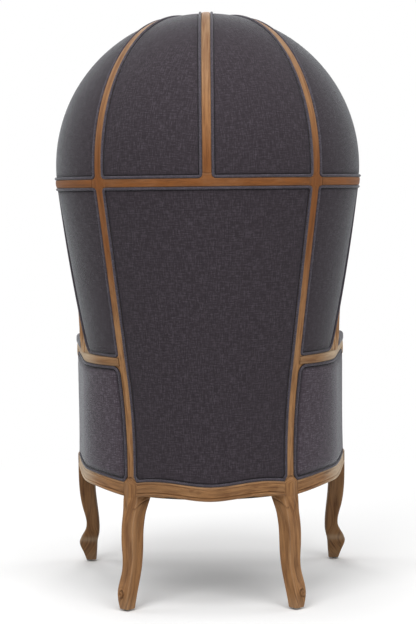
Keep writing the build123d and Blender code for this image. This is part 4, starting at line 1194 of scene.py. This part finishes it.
# Finishes
class Finish:
    """A material's node tree, built by short calls."""

    def __init__(self, name):
        self.material = bpy.data.materials.new(name)
        self.material.use_nodes = True
        self.tree = self.material.node_tree
        self.tree.nodes.clear()
        self.shader = self.tree.nodes.new("ShaderNodeBsdfPrincipled")
        self.out = self.tree.nodes.new("ShaderNodeOutputMaterial")
        self.tree.links.new(self.shader.outputs[0], self.out.inputs["Surface"])

    def add(self, kind, output=0, settings=(), **inputs):
        """A node with its inputs, named or numbered as in_0, set or linked. Gives one output."""
        node = self.tree.nodes.new("ShaderNode" + kind)
        for key, value in settings:
            setattr(node, key, value)
        for key, value in inputs.items():
            self.fill(node.inputs[int(key[3:]) if key.startswith("in_") else key.replace("_", " ")], value)
        return node.outputs[output]

    def fill(self, socket, value):
        """Sets an input, or links an output to it."""
        if isinstance(value, bpy.types.NodeSocket):
            self.tree.links.new(value, socket)
        elif hasattr(socket.default_value, "__len__") and len(value) < len(socket.default_value):
            socket.default_value = (*value, 1.0)
        else:
            socket.default_value = value

    def math(self, operation, a, b=0.0, clamp=False):
        """One sum."""
        return self.add("Math", 0, (("operation", operation), ("use_clamp", clamp)), in_0=a, in_1=b)

    def times(self, a, b, clamp=False):
        """A product, kept from 0 to 1 if it is clamped."""
        return self.math("MULTIPLY", a, b, clamp)

    def plus(self, a, b):
        """A total."""
        return self.math("ADD", a, b)

    def less(self, a, b):
        """A difference."""
        return self.math("SUBTRACT", a, b)

    def mix(self, share, a, b):
        """A colour between two others."""
        return self.add("Mix", 2, (("data_type", "RGBA"), ("clamp_factor", True)), in_0=share, in_6=a, in_7=b)

    def span(self, value, low, high, most=None):
        """0 below low, 1 or the most above high, and smooth between."""
        smoothed = (("interpolation_type", "SMOOTHSTEP"),)
        share = self.add("MapRange", 0, smoothed, Value=value, From_Min=low, From_Max=high)
        return share if most is None else self.times(share, most)

    def noise(self, place, detail, rough, twist=0.0, scale=1.0):
        """Noise from 0 to 1 at a place."""
        looks = {"Scale": scale, "Detail": detail, "Roughness": rough, "Distortion": twist}
        return self.add("TexNoise", Vector=place, **looks)

    def grain(self, place, x, y, z, *looks):
        """Noise at a place that is scaled on each axis."""
        return self.noise(self.add("Mapping", Vector=place, Scale=(x, y, z)), *looks)

    def surface(self, drift):
        """The piece's own UV in metres, with the object's place as a third axis, so that pieces differ."""
        uv = self.add("SeparateXYZ", in_0=self.add("UVMap", 0, (("uv_map", "surface"),))).node.outputs
        dot = (("operation", "DOT_PRODUCT"),)
        spot = self.add("VectorMath", 1, dot, in_0=self.object_place(), in_1=(1.0, 0.37, 0.61))
        return self.add("CombineXYZ", X=uv[0], Y=uv[1], Z=self.times(spot, drift))

    def object_place(self):
        """The place in the chair's frame."""
        return self.add("TexCoord", 3)

    def worn(self):
        """How worn the surface is, how much painted shade it has by a seam, and how much painted shade in a
        hollow where it is below 0.
        """
        return self.add("Attribute", 2, (("attribute_name", "worn"),))

    def done(self, height, distance, strength, **inputs):
        """Sets the shader's sockets, with a bump from a height, and gives the material."""
        inputs["Normal"] = self.add("Bump", Height=height, Distance=distance, Strength=strength)
        self.set(**inputs)
        return self.material

    def set(self, **inputs):
        """Sets the shader's sockets."""
        for key, value in inputs.items():
            self.fill(self.shader.inputs[key.replace("_", " ")], value)


BLACK = (0.0, 0.0, 0.0)
WOOD_SHEEN, CLOTH_SHEEN, FLOOR_SHEEN = 0.22, 0.22, 0.1


def shade(rgb, factor):
    """A colour made lighter or darker."""
    return tuple(min(1.0, c * factor) for c in rgb)


def oak_finish(name, tone, dark, pale, stain=None, sawn=False):
    """Dry weathered oak: streaks along the grain, dark pores, slow changes of tone, pale worn places and
    painted shade in hollows.

    A stain, if given, deepens it round the belt rail, and the dome's top is bleached. Sawn blocks have no UV
    of their own, so their grain runs along X.
    """
    f = Finish(name)
    surface = f.object_place() if sawn else f.surface(6.0)
    streak = f.grain(surface, 5, 150, 3, 5.0, 0.62, 0.4)
    band = f.grain(surface, 1.6, 26, 2, 3.0, 0.55, 1.1)
    pore = f.grain(surface, 45, 1300, 9, 2.0, 0.6)
    slow = f.noise(f.object_place(), 3.0, 0.6, scale=5.0)
    if stain is not None:
        height = f.add("SeparateXYZ", 2, in_0=f.object_place())
        deep = f.times(f.span(height, 0.66, 0.98), f.less(1.0, f.span(height, 1.13, 1.30, 0.65)))
        tone, dark = f.mix(deep, tone, stain), f.mix(deep, dark, shade(stain, 0.62))
        tone = f.mix(f.span(height, 1.25, 1.55, 0.45), tone, shade(pale, 0.5))
    body = f.mix(f.span(streak, 0.28, 0.62), dark, tone)
    body = f.mix(f.span(band, 0.42, 0.72, 0.35), body, f.mix(0.16, tone, pale))
    body = f.mix(f.span(slow, 0.40, 0.75, 0.35), body, dark)
    ticks = f.span(pore, 0.60, 0.70, 0.55)
    body = f.mix(ticks, body, f.mix(0.4, dark, BLACK))
    wear = f.times(f.worn(), f.plus(0.35, f.times(streak, 0.75)), True)
    body = f.mix(f.times(wear, 0.85), body, pale)
    # Painted shade: darker where the surface is marked below 0, in the hollows of mouldings, carving and flutes
    body = f.mix(f.times(f.times(f.worn(), -1.0, True), 0.75), body, f.mix(0.45, dark, BLACK))
    rough = f.plus(0.56, f.times(band, 0.16))
    height = f.less(f.times(streak, 0.6), ticks)
    return f.done(height, 0.0005, 0.7, Base_Color=body, Roughness=rough, Specular_IOR_Level=WOOD_SHEEN)


def linen_finish(name, tone, fleck, thread, seam=0.92):
    """Heathered linen: threads both ways with slubs in them, pale flecks, and a line of painted shade by the
    seams.
    """
    f = Finish(name)
    surface = f.surface(0.0)
    across, along = f.grain(surface, 95, 850, 0, 2.0, 0.55), f.grain(surface, 850, 95, 0, 2.0, 0.55)
    slub_a, slub_b = f.grain(surface, 38, 330, 0, 3.0, 0.6), f.grain(surface, 330, 38, 0, 3.0, 0.6)
    slow = f.noise(f.object_place(), 2.0, 0.5, scale=4.0)
    uv = f.add("SeparateXYZ", in_0=surface).node.outputs
    weave = f.times(*(f.math("SINE", f.times(uv[i], 2 * np.pi / thread)) for i in (0, 1)))
    slubs = f.times(f.less(f.plus(slub_a, slub_b), 1.0), 0.62)
    heather = f.plus(f.times(f.plus(across, along), 0.5), slubs)
    body = f.mix(f.span(heather, 0.34, 0.60), shade(tone, 0.60), tone)
    body = f.mix(f.span(heather, 0.50, 0.76, 0.70), body, fleck)
    body = f.mix(f.span(weave, 0.2, 0.9, 0.16), body, shade(tone, 0.5))
    body = f.mix(f.span(slow, 0.35, 0.75, 0.20), body, shade(tone, 0.80))
    # Painted shade along the seams, where the surface's mark is high
    body = f.mix(f.times(f.worn(), seam, True), body, shade(tone, 0.14))
    return f.done(
        f.plus(f.times(weave, 0.35), heather), 0.0003, 0.6, Base_Color=body, Roughness=0.92,
        Specular_IOR_Level=CLOTH_SHEEN, Sheen_Weight=0.38, Sheen_Roughness=0.30,
        Sheen_Tint=(0.80, 0.86, 0.88),
    )


def metal_finish(name, tone, rough, metallic=1.0):
    """Dull metal with fine scuffs and slow stains."""
    f = Finish(name)
    place = f.object_place()
    scuff, stain = f.noise(place, 3.0, 0.6, scale=420.0), f.noise(place, 2.0, 0.5, scale=38.0)
    body = f.mix(f.span(stain, 0.35, 0.7), shade(tone, 0.72), tone)
    body = f.mix(f.span(scuff, 0.55, 0.75, 0.4), body, shade(tone, 1.3))
    rough = f.plus(rough, f.times(scuff, 0.2))
    return f.done(scuff, 0.0002, 0.4, Base_Color=body, Roughness=rough, Metallic=metallic)


FINISHES = {
    "oak": lambda c: oak_finish("oak_strips", c.oak, c.oak_dark, c.oak_worn, c.oak_stain),
    "leg_oak": lambda c: oak_finish("oak_legs", c.leg_oak, shade(c.oak_dark, 0.85), c.oak_worn),
    "arm_oak": lambda c: oak_finish("oak_arms", shade(c.oak, 0.70), shade(c.oak_dark, 0.9), c.oak_worn),
    # A darker copy of the legs' oak: painted shade for the front legs, which stand under the seat
    "front_oak_painted_shade": lambda c: oak_finish(
        "oak_front_legs_painted_shade", shade(c.leg_oak, 0.66), shade(c.oak_dark, 0.6), shade(c.oak_worn, 0.85)
    ),
    "block_wood": lambda c: oak_finish(
        "sawn_blocks", shade(c.oak, 1.25), tuple(c.oak), c.oak_worn, sawn=True
    ),
    "linen": lambda c: linen_finish("linen_covers", c.linen, c.linen_fleck, sizes().thread),
    "welt": lambda c: linen_finish("linen_welts", c.welt, shade(c.linen_fleck, 0.8), sizes().thread, 0.0),
    "deck": lambda c: linen_finish("deck_cloth", c.deck_cloth, shade(c.linen_fleck, 0.7), 0.0008, 0.2),
    "dust": lambda c: linen_finish("dust_cloth", c.dust_cloth, shade(c.deck_cloth, 1.1), 0.0014, 0.0),
    "spring": lambda c: metal_finish("spring_wire", shade(c.metal, 1.6), 0.34),
    "screw": lambda c: metal_finish("screw_plate", shade(c.metal, 2.4), 0.28),
    "glide": lambda c: metal_finish("glide_metal", shade(c.metal, 1.9), 0.52, 0.15),
}
FINISHES_MADE = {}


def finish(key):
    """A finish's material, made once."""
    made = bpy.data.materials.get(FINISHES_MADE.get(key, ""))
    if made is None:
        made = FINISHES[key](finishes())
        FINISHES_MADE[key] = made.name
    return made


def keep_node(key, *nodes):
    """A CAD node whose shape is right keeps its mesh and gets a better finish."""
    for node in nodes:
        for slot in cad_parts[node].material_slots:
            slot.material = finish(key)


# Operators
class PORTER_OT_posts(bpy.types.Operator):
    """Makes the two rear posts up the hood"""

    bl_idname = "porter.posts"
    bl_label = "Rear posts"

    def execute(self, context):
        pair("post_strip", rear_post, "oak", "oak", "rear_post")
        return {"FINISHED"}


class PORTER_OT_belt(bpy.types.Operator):
    """Makes the belt rail in its three parts"""

    bl_idname = "porter.belt"
    bl_label = "Belt rail"

    def execute(self, context):
        dress(belt_back("belt_strip_back"), "oak", "oak", "belt_rail_back")
        pair("belt_strip_side", belt_side, "oak", "oak", "belt_rail_side")
        return {"FINISHED"}


class PORTER_OT_ribs(bpy.types.Operator):
    """Makes the dome's middle rib, its two side ribs and the crown block"""

    bl_idname = "porter.ribs"
    bl_label = "Dome ribs and crown"

    def execute(self, context):
        dress(rib("rib_strip_middle", 1, 0.0), "oak", "oak", "dome_rib_middle")
        pair("rib_strip", lambda name, sign: rib(name, sign, rib_turn()), "oak", "oak", "dome_rib")
        dress(crown_block("crown_disc"), "oak", "oak", "crown_block")
        return {"FINISHED"}


class PORTER_OT_front(bpy.types.Operator):
    """Makes the hood's leaning front: its arch and its stiles"""

    bl_idname = "porter.front"
    bl_label = "Hood front"

    def execute(self, context):
        pair("arch_arm", hood_arch, "oak", "oak", "hood_arch")
        pair("stile_strip", hood_stile, "oak", "oak", "hood_stile")
        return {"FINISHED"}


class PORTER_OT_arms(bpy.types.Operator):
    """Makes the arm rails, the rolls at their ends and the swept arm posts"""

    bl_idname = "porter.arms"
    bl_label = "Arms"

    def execute(self, context):
        pair("arm_strip", arm_rail, "oak", "arm_oak", "arm_rail")
        pair("arm_scroll", scroll, "oak", "oak")
        pair("arm_support", arm_post, "oak", "leg_oak", "arm_post")
        return {"FINISHED"}


class PORTER_OT_rails(bpy.types.Operator):
    """Makes the serpentine seat rails with their beads"""

    bl_idname = "porter.rails"
    bl_label = "Seat rails"

    def execute(self, context):
        dress(rail_rear("rail_rear_moulded"), "oak", "leg_oak", "seat_rail_rear")
        dress(rail_front("rail_front_shaped"), "oak", "leg_oak", "seat_rail_front")
        pair("rail_side_moulded", rail_side, "oak", "leg_oak", "seat_rail_side")
        return {"FINISHED"}


class PORTER_OT_legs(bpy.types.Operator):
    """Makes the four carved legs and finishes their glides"""

    bl_idname = "porter.legs"
    bl_label = "Legs"

    def execute(self, context):
        pair("leg_rear_carved", rear_leg, "oak", "leg_oak", "rear_leg")
        pair("leg_front_carved", front_leg, "oak", "front_oak_painted_shade", "front_leg")
        keep_node("glide", "leg_glides")
        return {"FINISHED"}


class PORTER_OT_underside(bpy.types.Operator):
    """Finishes the blocks, screws, springs and clips, and makes the deck and the dust cover"""

    bl_idname = "porter.underside"
    bl_label = "Seat deck and underside"

    def execute(self, context):
        keep_node("block_wood", "corner_blocks")
        keep_node("screw", "corner_screws")
        keep_node("spring", "seat_springs", "spring_clips")
        outline = inside_rails_outline()
        low, high = (v.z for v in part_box("seat_deck"))
        dress(flat_piece("deck_pad", outline, low, high, 0.012), "deck_cloth", "deck", "seat_deck", fill=0.9)
        low, high = (v.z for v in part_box("dust_cover"))
        cloth = flat_piece("dust_cloth_sheet", outline, low + SHEET, high - SHEET, 0.002)
        dress(cloth, "dust_cloth", "dust", "dust_cover")
        flat = tuple(float(side) for side in np.ptp(outline, axis=0))
        return {"FINISHED"}


# Each opening's chart, field, reach, fullness and firmness
OPENINGS = {
    "side": (lambda: on_hood_round(1.28, 0.87), side_field, 0.6, 1.4, 0.040),
    "arm": (lambda: on_tub_round(0.95, 0.47, 0.34), arm_field, 0.6, 2.8, 0.026),
    "dome_back": (lambda: on_dome_round((0.36, 0.76, 0.50)), dome_back_field, 0.7, 1.7, 0.032),
    "dome_side": (lambda: on_dome_round((0.82, 0.16, 0.42)), dome_side_field, 0.7, 1.3, 0.035),
}
BACK_MIDDLE_Z, BACK_REACH = 0.72, 0.8


class PORTER_OT_panels(bpy.types.Operator):
    """Makes the outside panels of linen, a little crowned"""

    bl_idname = "porter.panels"
    bl_label = "Outside panels"

    def execute(self, context):
        back = panel("back_cover", 1, on_hood_round(0.0, BACK_MIDDLE_Z), back_field, BACK_REACH, 1)
        dress(back, "linen", "linen", "back_panel", fill=0.9)
        for seed, (key, (place, field, reach, fuller, firm)) in enumerate(OPENINGS.items(), 2):
            make = lambda name, sign: panel(name, sign, place(), field, reach, seed, fuller, firm)
            pair(f"{key}_cover", make, "linen", "linen", f"{key}_panel", fill=0.9)
        return {"FINISHED"}


class PORTER_OT_welts(bpy.types.Operator):
    """Makes the welts round the outside panels"""

    bl_idname = "porter.welts"
    bl_label = "Welts"

    def execute(self, context):
        back = welt("back_cord", 1, on_hood_round(0.0, BACK_MIDDLE_Z), back_field, BACK_REACH)
        dress(back, "welt_linen", "welt", "back_welt")
        for key, (place, field, reach, *_) in OPENINGS.items():
            make = lambda name, sign: welt(name, sign, place(), field, reach)
            pair(f"{key}_cord", make, "welt_linen", "welt", f"{key}_welt")
        return {"FINISHED"}


class PORTER_OT_inside(bpy.types.Operator):
    """Makes the padded inside of the hood, the arms and the dome"""

    bl_idname = "porter.inside"
    bl_label = "Inside upholstery"

    def execute(self, context):
        dress(pad("back_pad", 1, on_inner_back, 0.42, 0.76, 11), "linen", "linen", "inner_back", fill=0.8)
        side = lambda name, sign: pad(name, sign, on_inner_side, 0.26, 0.76, 12)
        pair("side_pad", side, "linen", "linen", "inner_side", fill=0.8)
        tub = lambda name, sign: pad(name, sign, on_inner_arm, 0.34, 0.28, 12)
        pair("tub_pad", tub, "linen", "linen", "inner_arm", fill=0.8)
        dress(dome_lining("dome_lining_cover"), "linen", "linen", "dome_lining", fill=0.8)
        pair("elbow_pad", arm_pad, "linen", "linen", "arm_pad", fill=0.9)
        return {"FINISHED"}


class PORTER_OT_cushion(bpy.types.Operator):
    """Makes the loose seat cushion and its two welts"""

    bl_idname = "porter.cushion"
    bl_label = "Seat cushion"

    def execute(self, context):
        low, high = PAD_LOW + CUSHION_WELT_IN, PAD_LOW + CUSHION_TALL - CUSHION_WELT_IN
        dress(seat_cushion("cushion_cover"), "linen", "linen", "seat_cushion", body="cushion", fill=0.8)
        dress(cushion_welt("cushion_cord_low", low), "welt_linen", "welt", "cushion_piping", body="cushion")
        dress(cushion_welt("cushion_cord_high", high), "welt_linen", "welt", body="cushion")
        return {"FINISHED"}


# Stage: each lamp's place, the height that it aims at, its size and its power
LAMPS = {
    "lamp_key": ((1.3, 2.7, 3.3), 0.85, 2.2, 72),
    "lamp_fill": ((-1.9, 2.8, 2.7), 0.85, 2.2, 52),
    "lamp_top": ((0.0, 0.9, 4.2), 1.2, 2.0, 56),
    "lamp_left": ((3.1, -1.2, 2.8), 0.85, 1.8, 24),
    "lamp_right": ((-3.1, -1.2, 2.8), 0.85, 1.8, 20),
    "lamp_front": ((0.4, -3.6, 2.6), 0.85, 2.4, 70),
}
FLOOR_REACH, WORLD_LIGHT = 9.0, 0.42
CAMERA_PLACE, CAMERA_LENS, CAMERA_FILM = (-0.0237, 4.9907 + HOOD_Y, 1.0865), 106.01, 36.0
CAMERA_YAW, CAMERA_PITCH, CAMERA_ROLL = np.radians([0.310, 3.859, 0.635])


def seen_white(tree):
    """1 for the rays that a camera, a reflection or a clear surface sends out, and 0 for the rest."""
    path = tree.nodes.new("ShaderNodeLightPath")
    either = path.outputs["Is Camera Ray"]
    for name in ("Is Glossy Ray", "Is Transmission Ray"):
        most = tree.nodes.new("ShaderNodeMath")
        most.operation = "MAXIMUM"
        tree.links.new(either, most.inputs[0])
        tree.links.new(path.outputs[name], most.inputs[1])
        either = most.outputs[0]
    return either


class PORTER_OT_stage(bpy.types.Operator):
    """Makes the floor, the soft lamps, the white world and the camera at the photograph's viewpoint"""

    bl_idname = "porter.stage"
    bl_label = "Studio"

    def execute(self, context):
        self.floor()
        self.world(context)
        self.lamps()
        self.camera(context)
        return {"FINISHED"}

    def floor(self):
        """A wide pale floor that keeps the chair's shadow and is seen as white away from it."""
        mesh, far = bpy.data.meshes.new("studio_floor"), FLOOR_REACH
        mesh.from_pydata([(-far, -far, 0), (far, -far, 0), (far, far, 0), (-far, far, 0)], [], [(0, 1, 2, 3)])
        floor = bpy.data.objects.new("studio_floor", mesh)
        bpy.context.scene.collection.objects.link(floor)
        f = Finish("studio_floor")
        f.set(Base_Color=tuple(finishes().floor), Roughness=0.9, Specular_IOR_Level=FLOOR_SHEEN)
        off = f.span(f.add("VectorMath", 1, (("operation", "LENGTH"),), in_0=f.object_place()), 0.9, 2.4)
        share = f.times(seen_white(f.tree), off)
        mixed = f.add("MixShader", in_0=share, in_1=f.shader.outputs[0], in_2=f.add("Emission"))
        f.tree.links.new(mixed, f.out.inputs["Surface"])
        mesh.materials.append(f.material)
        return floor

    def world(self, context):
        """White where it is seen, and a softer white as light."""
        world = bpy.data.worlds.new("studio")
        world.use_nodes = True
        tree = world.node_tree
        background = next(n for n in tree.nodes if n.type == "BACKGROUND")
        background.inputs["Color"].default_value = (1, 1, 1, 1)
        span = tree.nodes.new("ShaderNodeMapRange")
        tree.links.new(seen_white(tree), span.inputs["Value"])
        span.inputs["To Min"].default_value, span.inputs["To Max"].default_value = WORLD_LIGHT, 1.0
        tree.links.new(span.outputs[0], background.inputs["Strength"])
        context.scene.world = world

    def lamps(self):
        """Large soft square lamps: two on the camera's side, one above, one at each side and one in front."""
        for name, (place, aim, size, power) in LAMPS.items():
            data = bpy.data.lights.new(name, "AREA")
            data.energy, data.size, data.shape = power, size, "SQUARE"
            lamp = bpy.data.objects.new(name, data)
            lamp.location = place
            lamp.rotation_euler = (Vector((0, 0, aim)) - Vector(place)).to_track_quat("-Z", "Y").to_euler()
            bpy.context.scene.collection.objects.link(lamp)

    def camera(self, context):
        """The photograph's viewpoint: level axes turned by yaw, pitch and roll, as its matrix's columns."""
        yaw, pitch, roll = CAMERA_YAW, CAMERA_PITCH, CAMERA_ROLL
        level, ahead = np.array([-np.cos(yaw), -np.sin(yaw), 0]), np.array([np.sin(yaw), -np.cos(yaw), 0])
        high = np.array([0, 0, 1.0])
        look = np.cos(pitch) * ahead - np.sin(pitch) * high
        over = np.sin(pitch) * ahead + np.cos(pitch) * high
        turned = np.eye(4)
        turned[:3, 0] = np.cos(roll) * level - np.sin(roll) * over
        turned[:3, 1] = np.sin(roll) * level + np.cos(roll) * over
        turned[:3, 2], turned[:3, 3] = -look, CAMERA_PLACE
        data = bpy.data.cameras.new("camera")
        data.sensor_fit, data.sensor_height, data.lens = "VERTICAL", CAMERA_FILM, CAMERA_LENS
        data.clip_end = 60
        camera = bpy.data.objects.new("camera", data)
        camera.matrix_world = Matrix(turned.tolist())
        context.scene.collection.objects.link(camera)
        context.scene.camera = camera
        context.scene.view_settings.view_transform = "Standard"


STEPS = (
    PORTER_OT_posts, PORTER_OT_belt, PORTER_OT_ribs, PORTER_OT_front, PORTER_OT_arms, PORTER_OT_rails,
    PORTER_OT_legs, PORTER_OT_underside, PORTER_OT_panels, PORTER_OT_welts, PORTER_OT_inside,
    PORTER_OT_cushion, PORTER_OT_stage,
)


class PORTER_PT_panel(bpy.types.Panel):
    """Lists the chair's sizes, its colours and the operators that make it"""

    bl_label = "Porter Chair"
    bl_space_type = "VIEW_3D"
    bl_region_type = "UI"
    bl_category = "Porter Chair"

    def draw(self, context):
        layout = self.layout
        for group in (context.scene.porter_sizes, context.scene.porter_finishes):
            box = layout.box()
            for key in group.__annotations__:
                box.prop(group, key)
        for step in STEPS:
            layout.operator(step.bl_idname)


CLASSES = (PorterSizes, PorterFinishes, *STEPS, PORTER_PT_panel)


def register():
    """Registers the classes and the scene's settings."""
    for cls in CLASSES:
        bpy.utils.register_class(cls)
    bpy.types.Scene.porter_sizes = PointerProperty(type=PorterSizes)
    bpy.types.Scene.porter_finishes = PointerProperty(type=PorterFinishes)


def unregister():
    """Undoes register."""
    del bpy.types.Scene.porter_finishes, bpy.types.Scene.porter_sizes
    for cls in reversed(CLASSES):
        bpy.utils.unregister_class(cls)


def main():
    register()
    for step in STEPS:
        family, name = step.bl_idname.split(".")
        getattr(getattr(bpy.ops, family), name)()


if __name__ == "__main__":
    main()
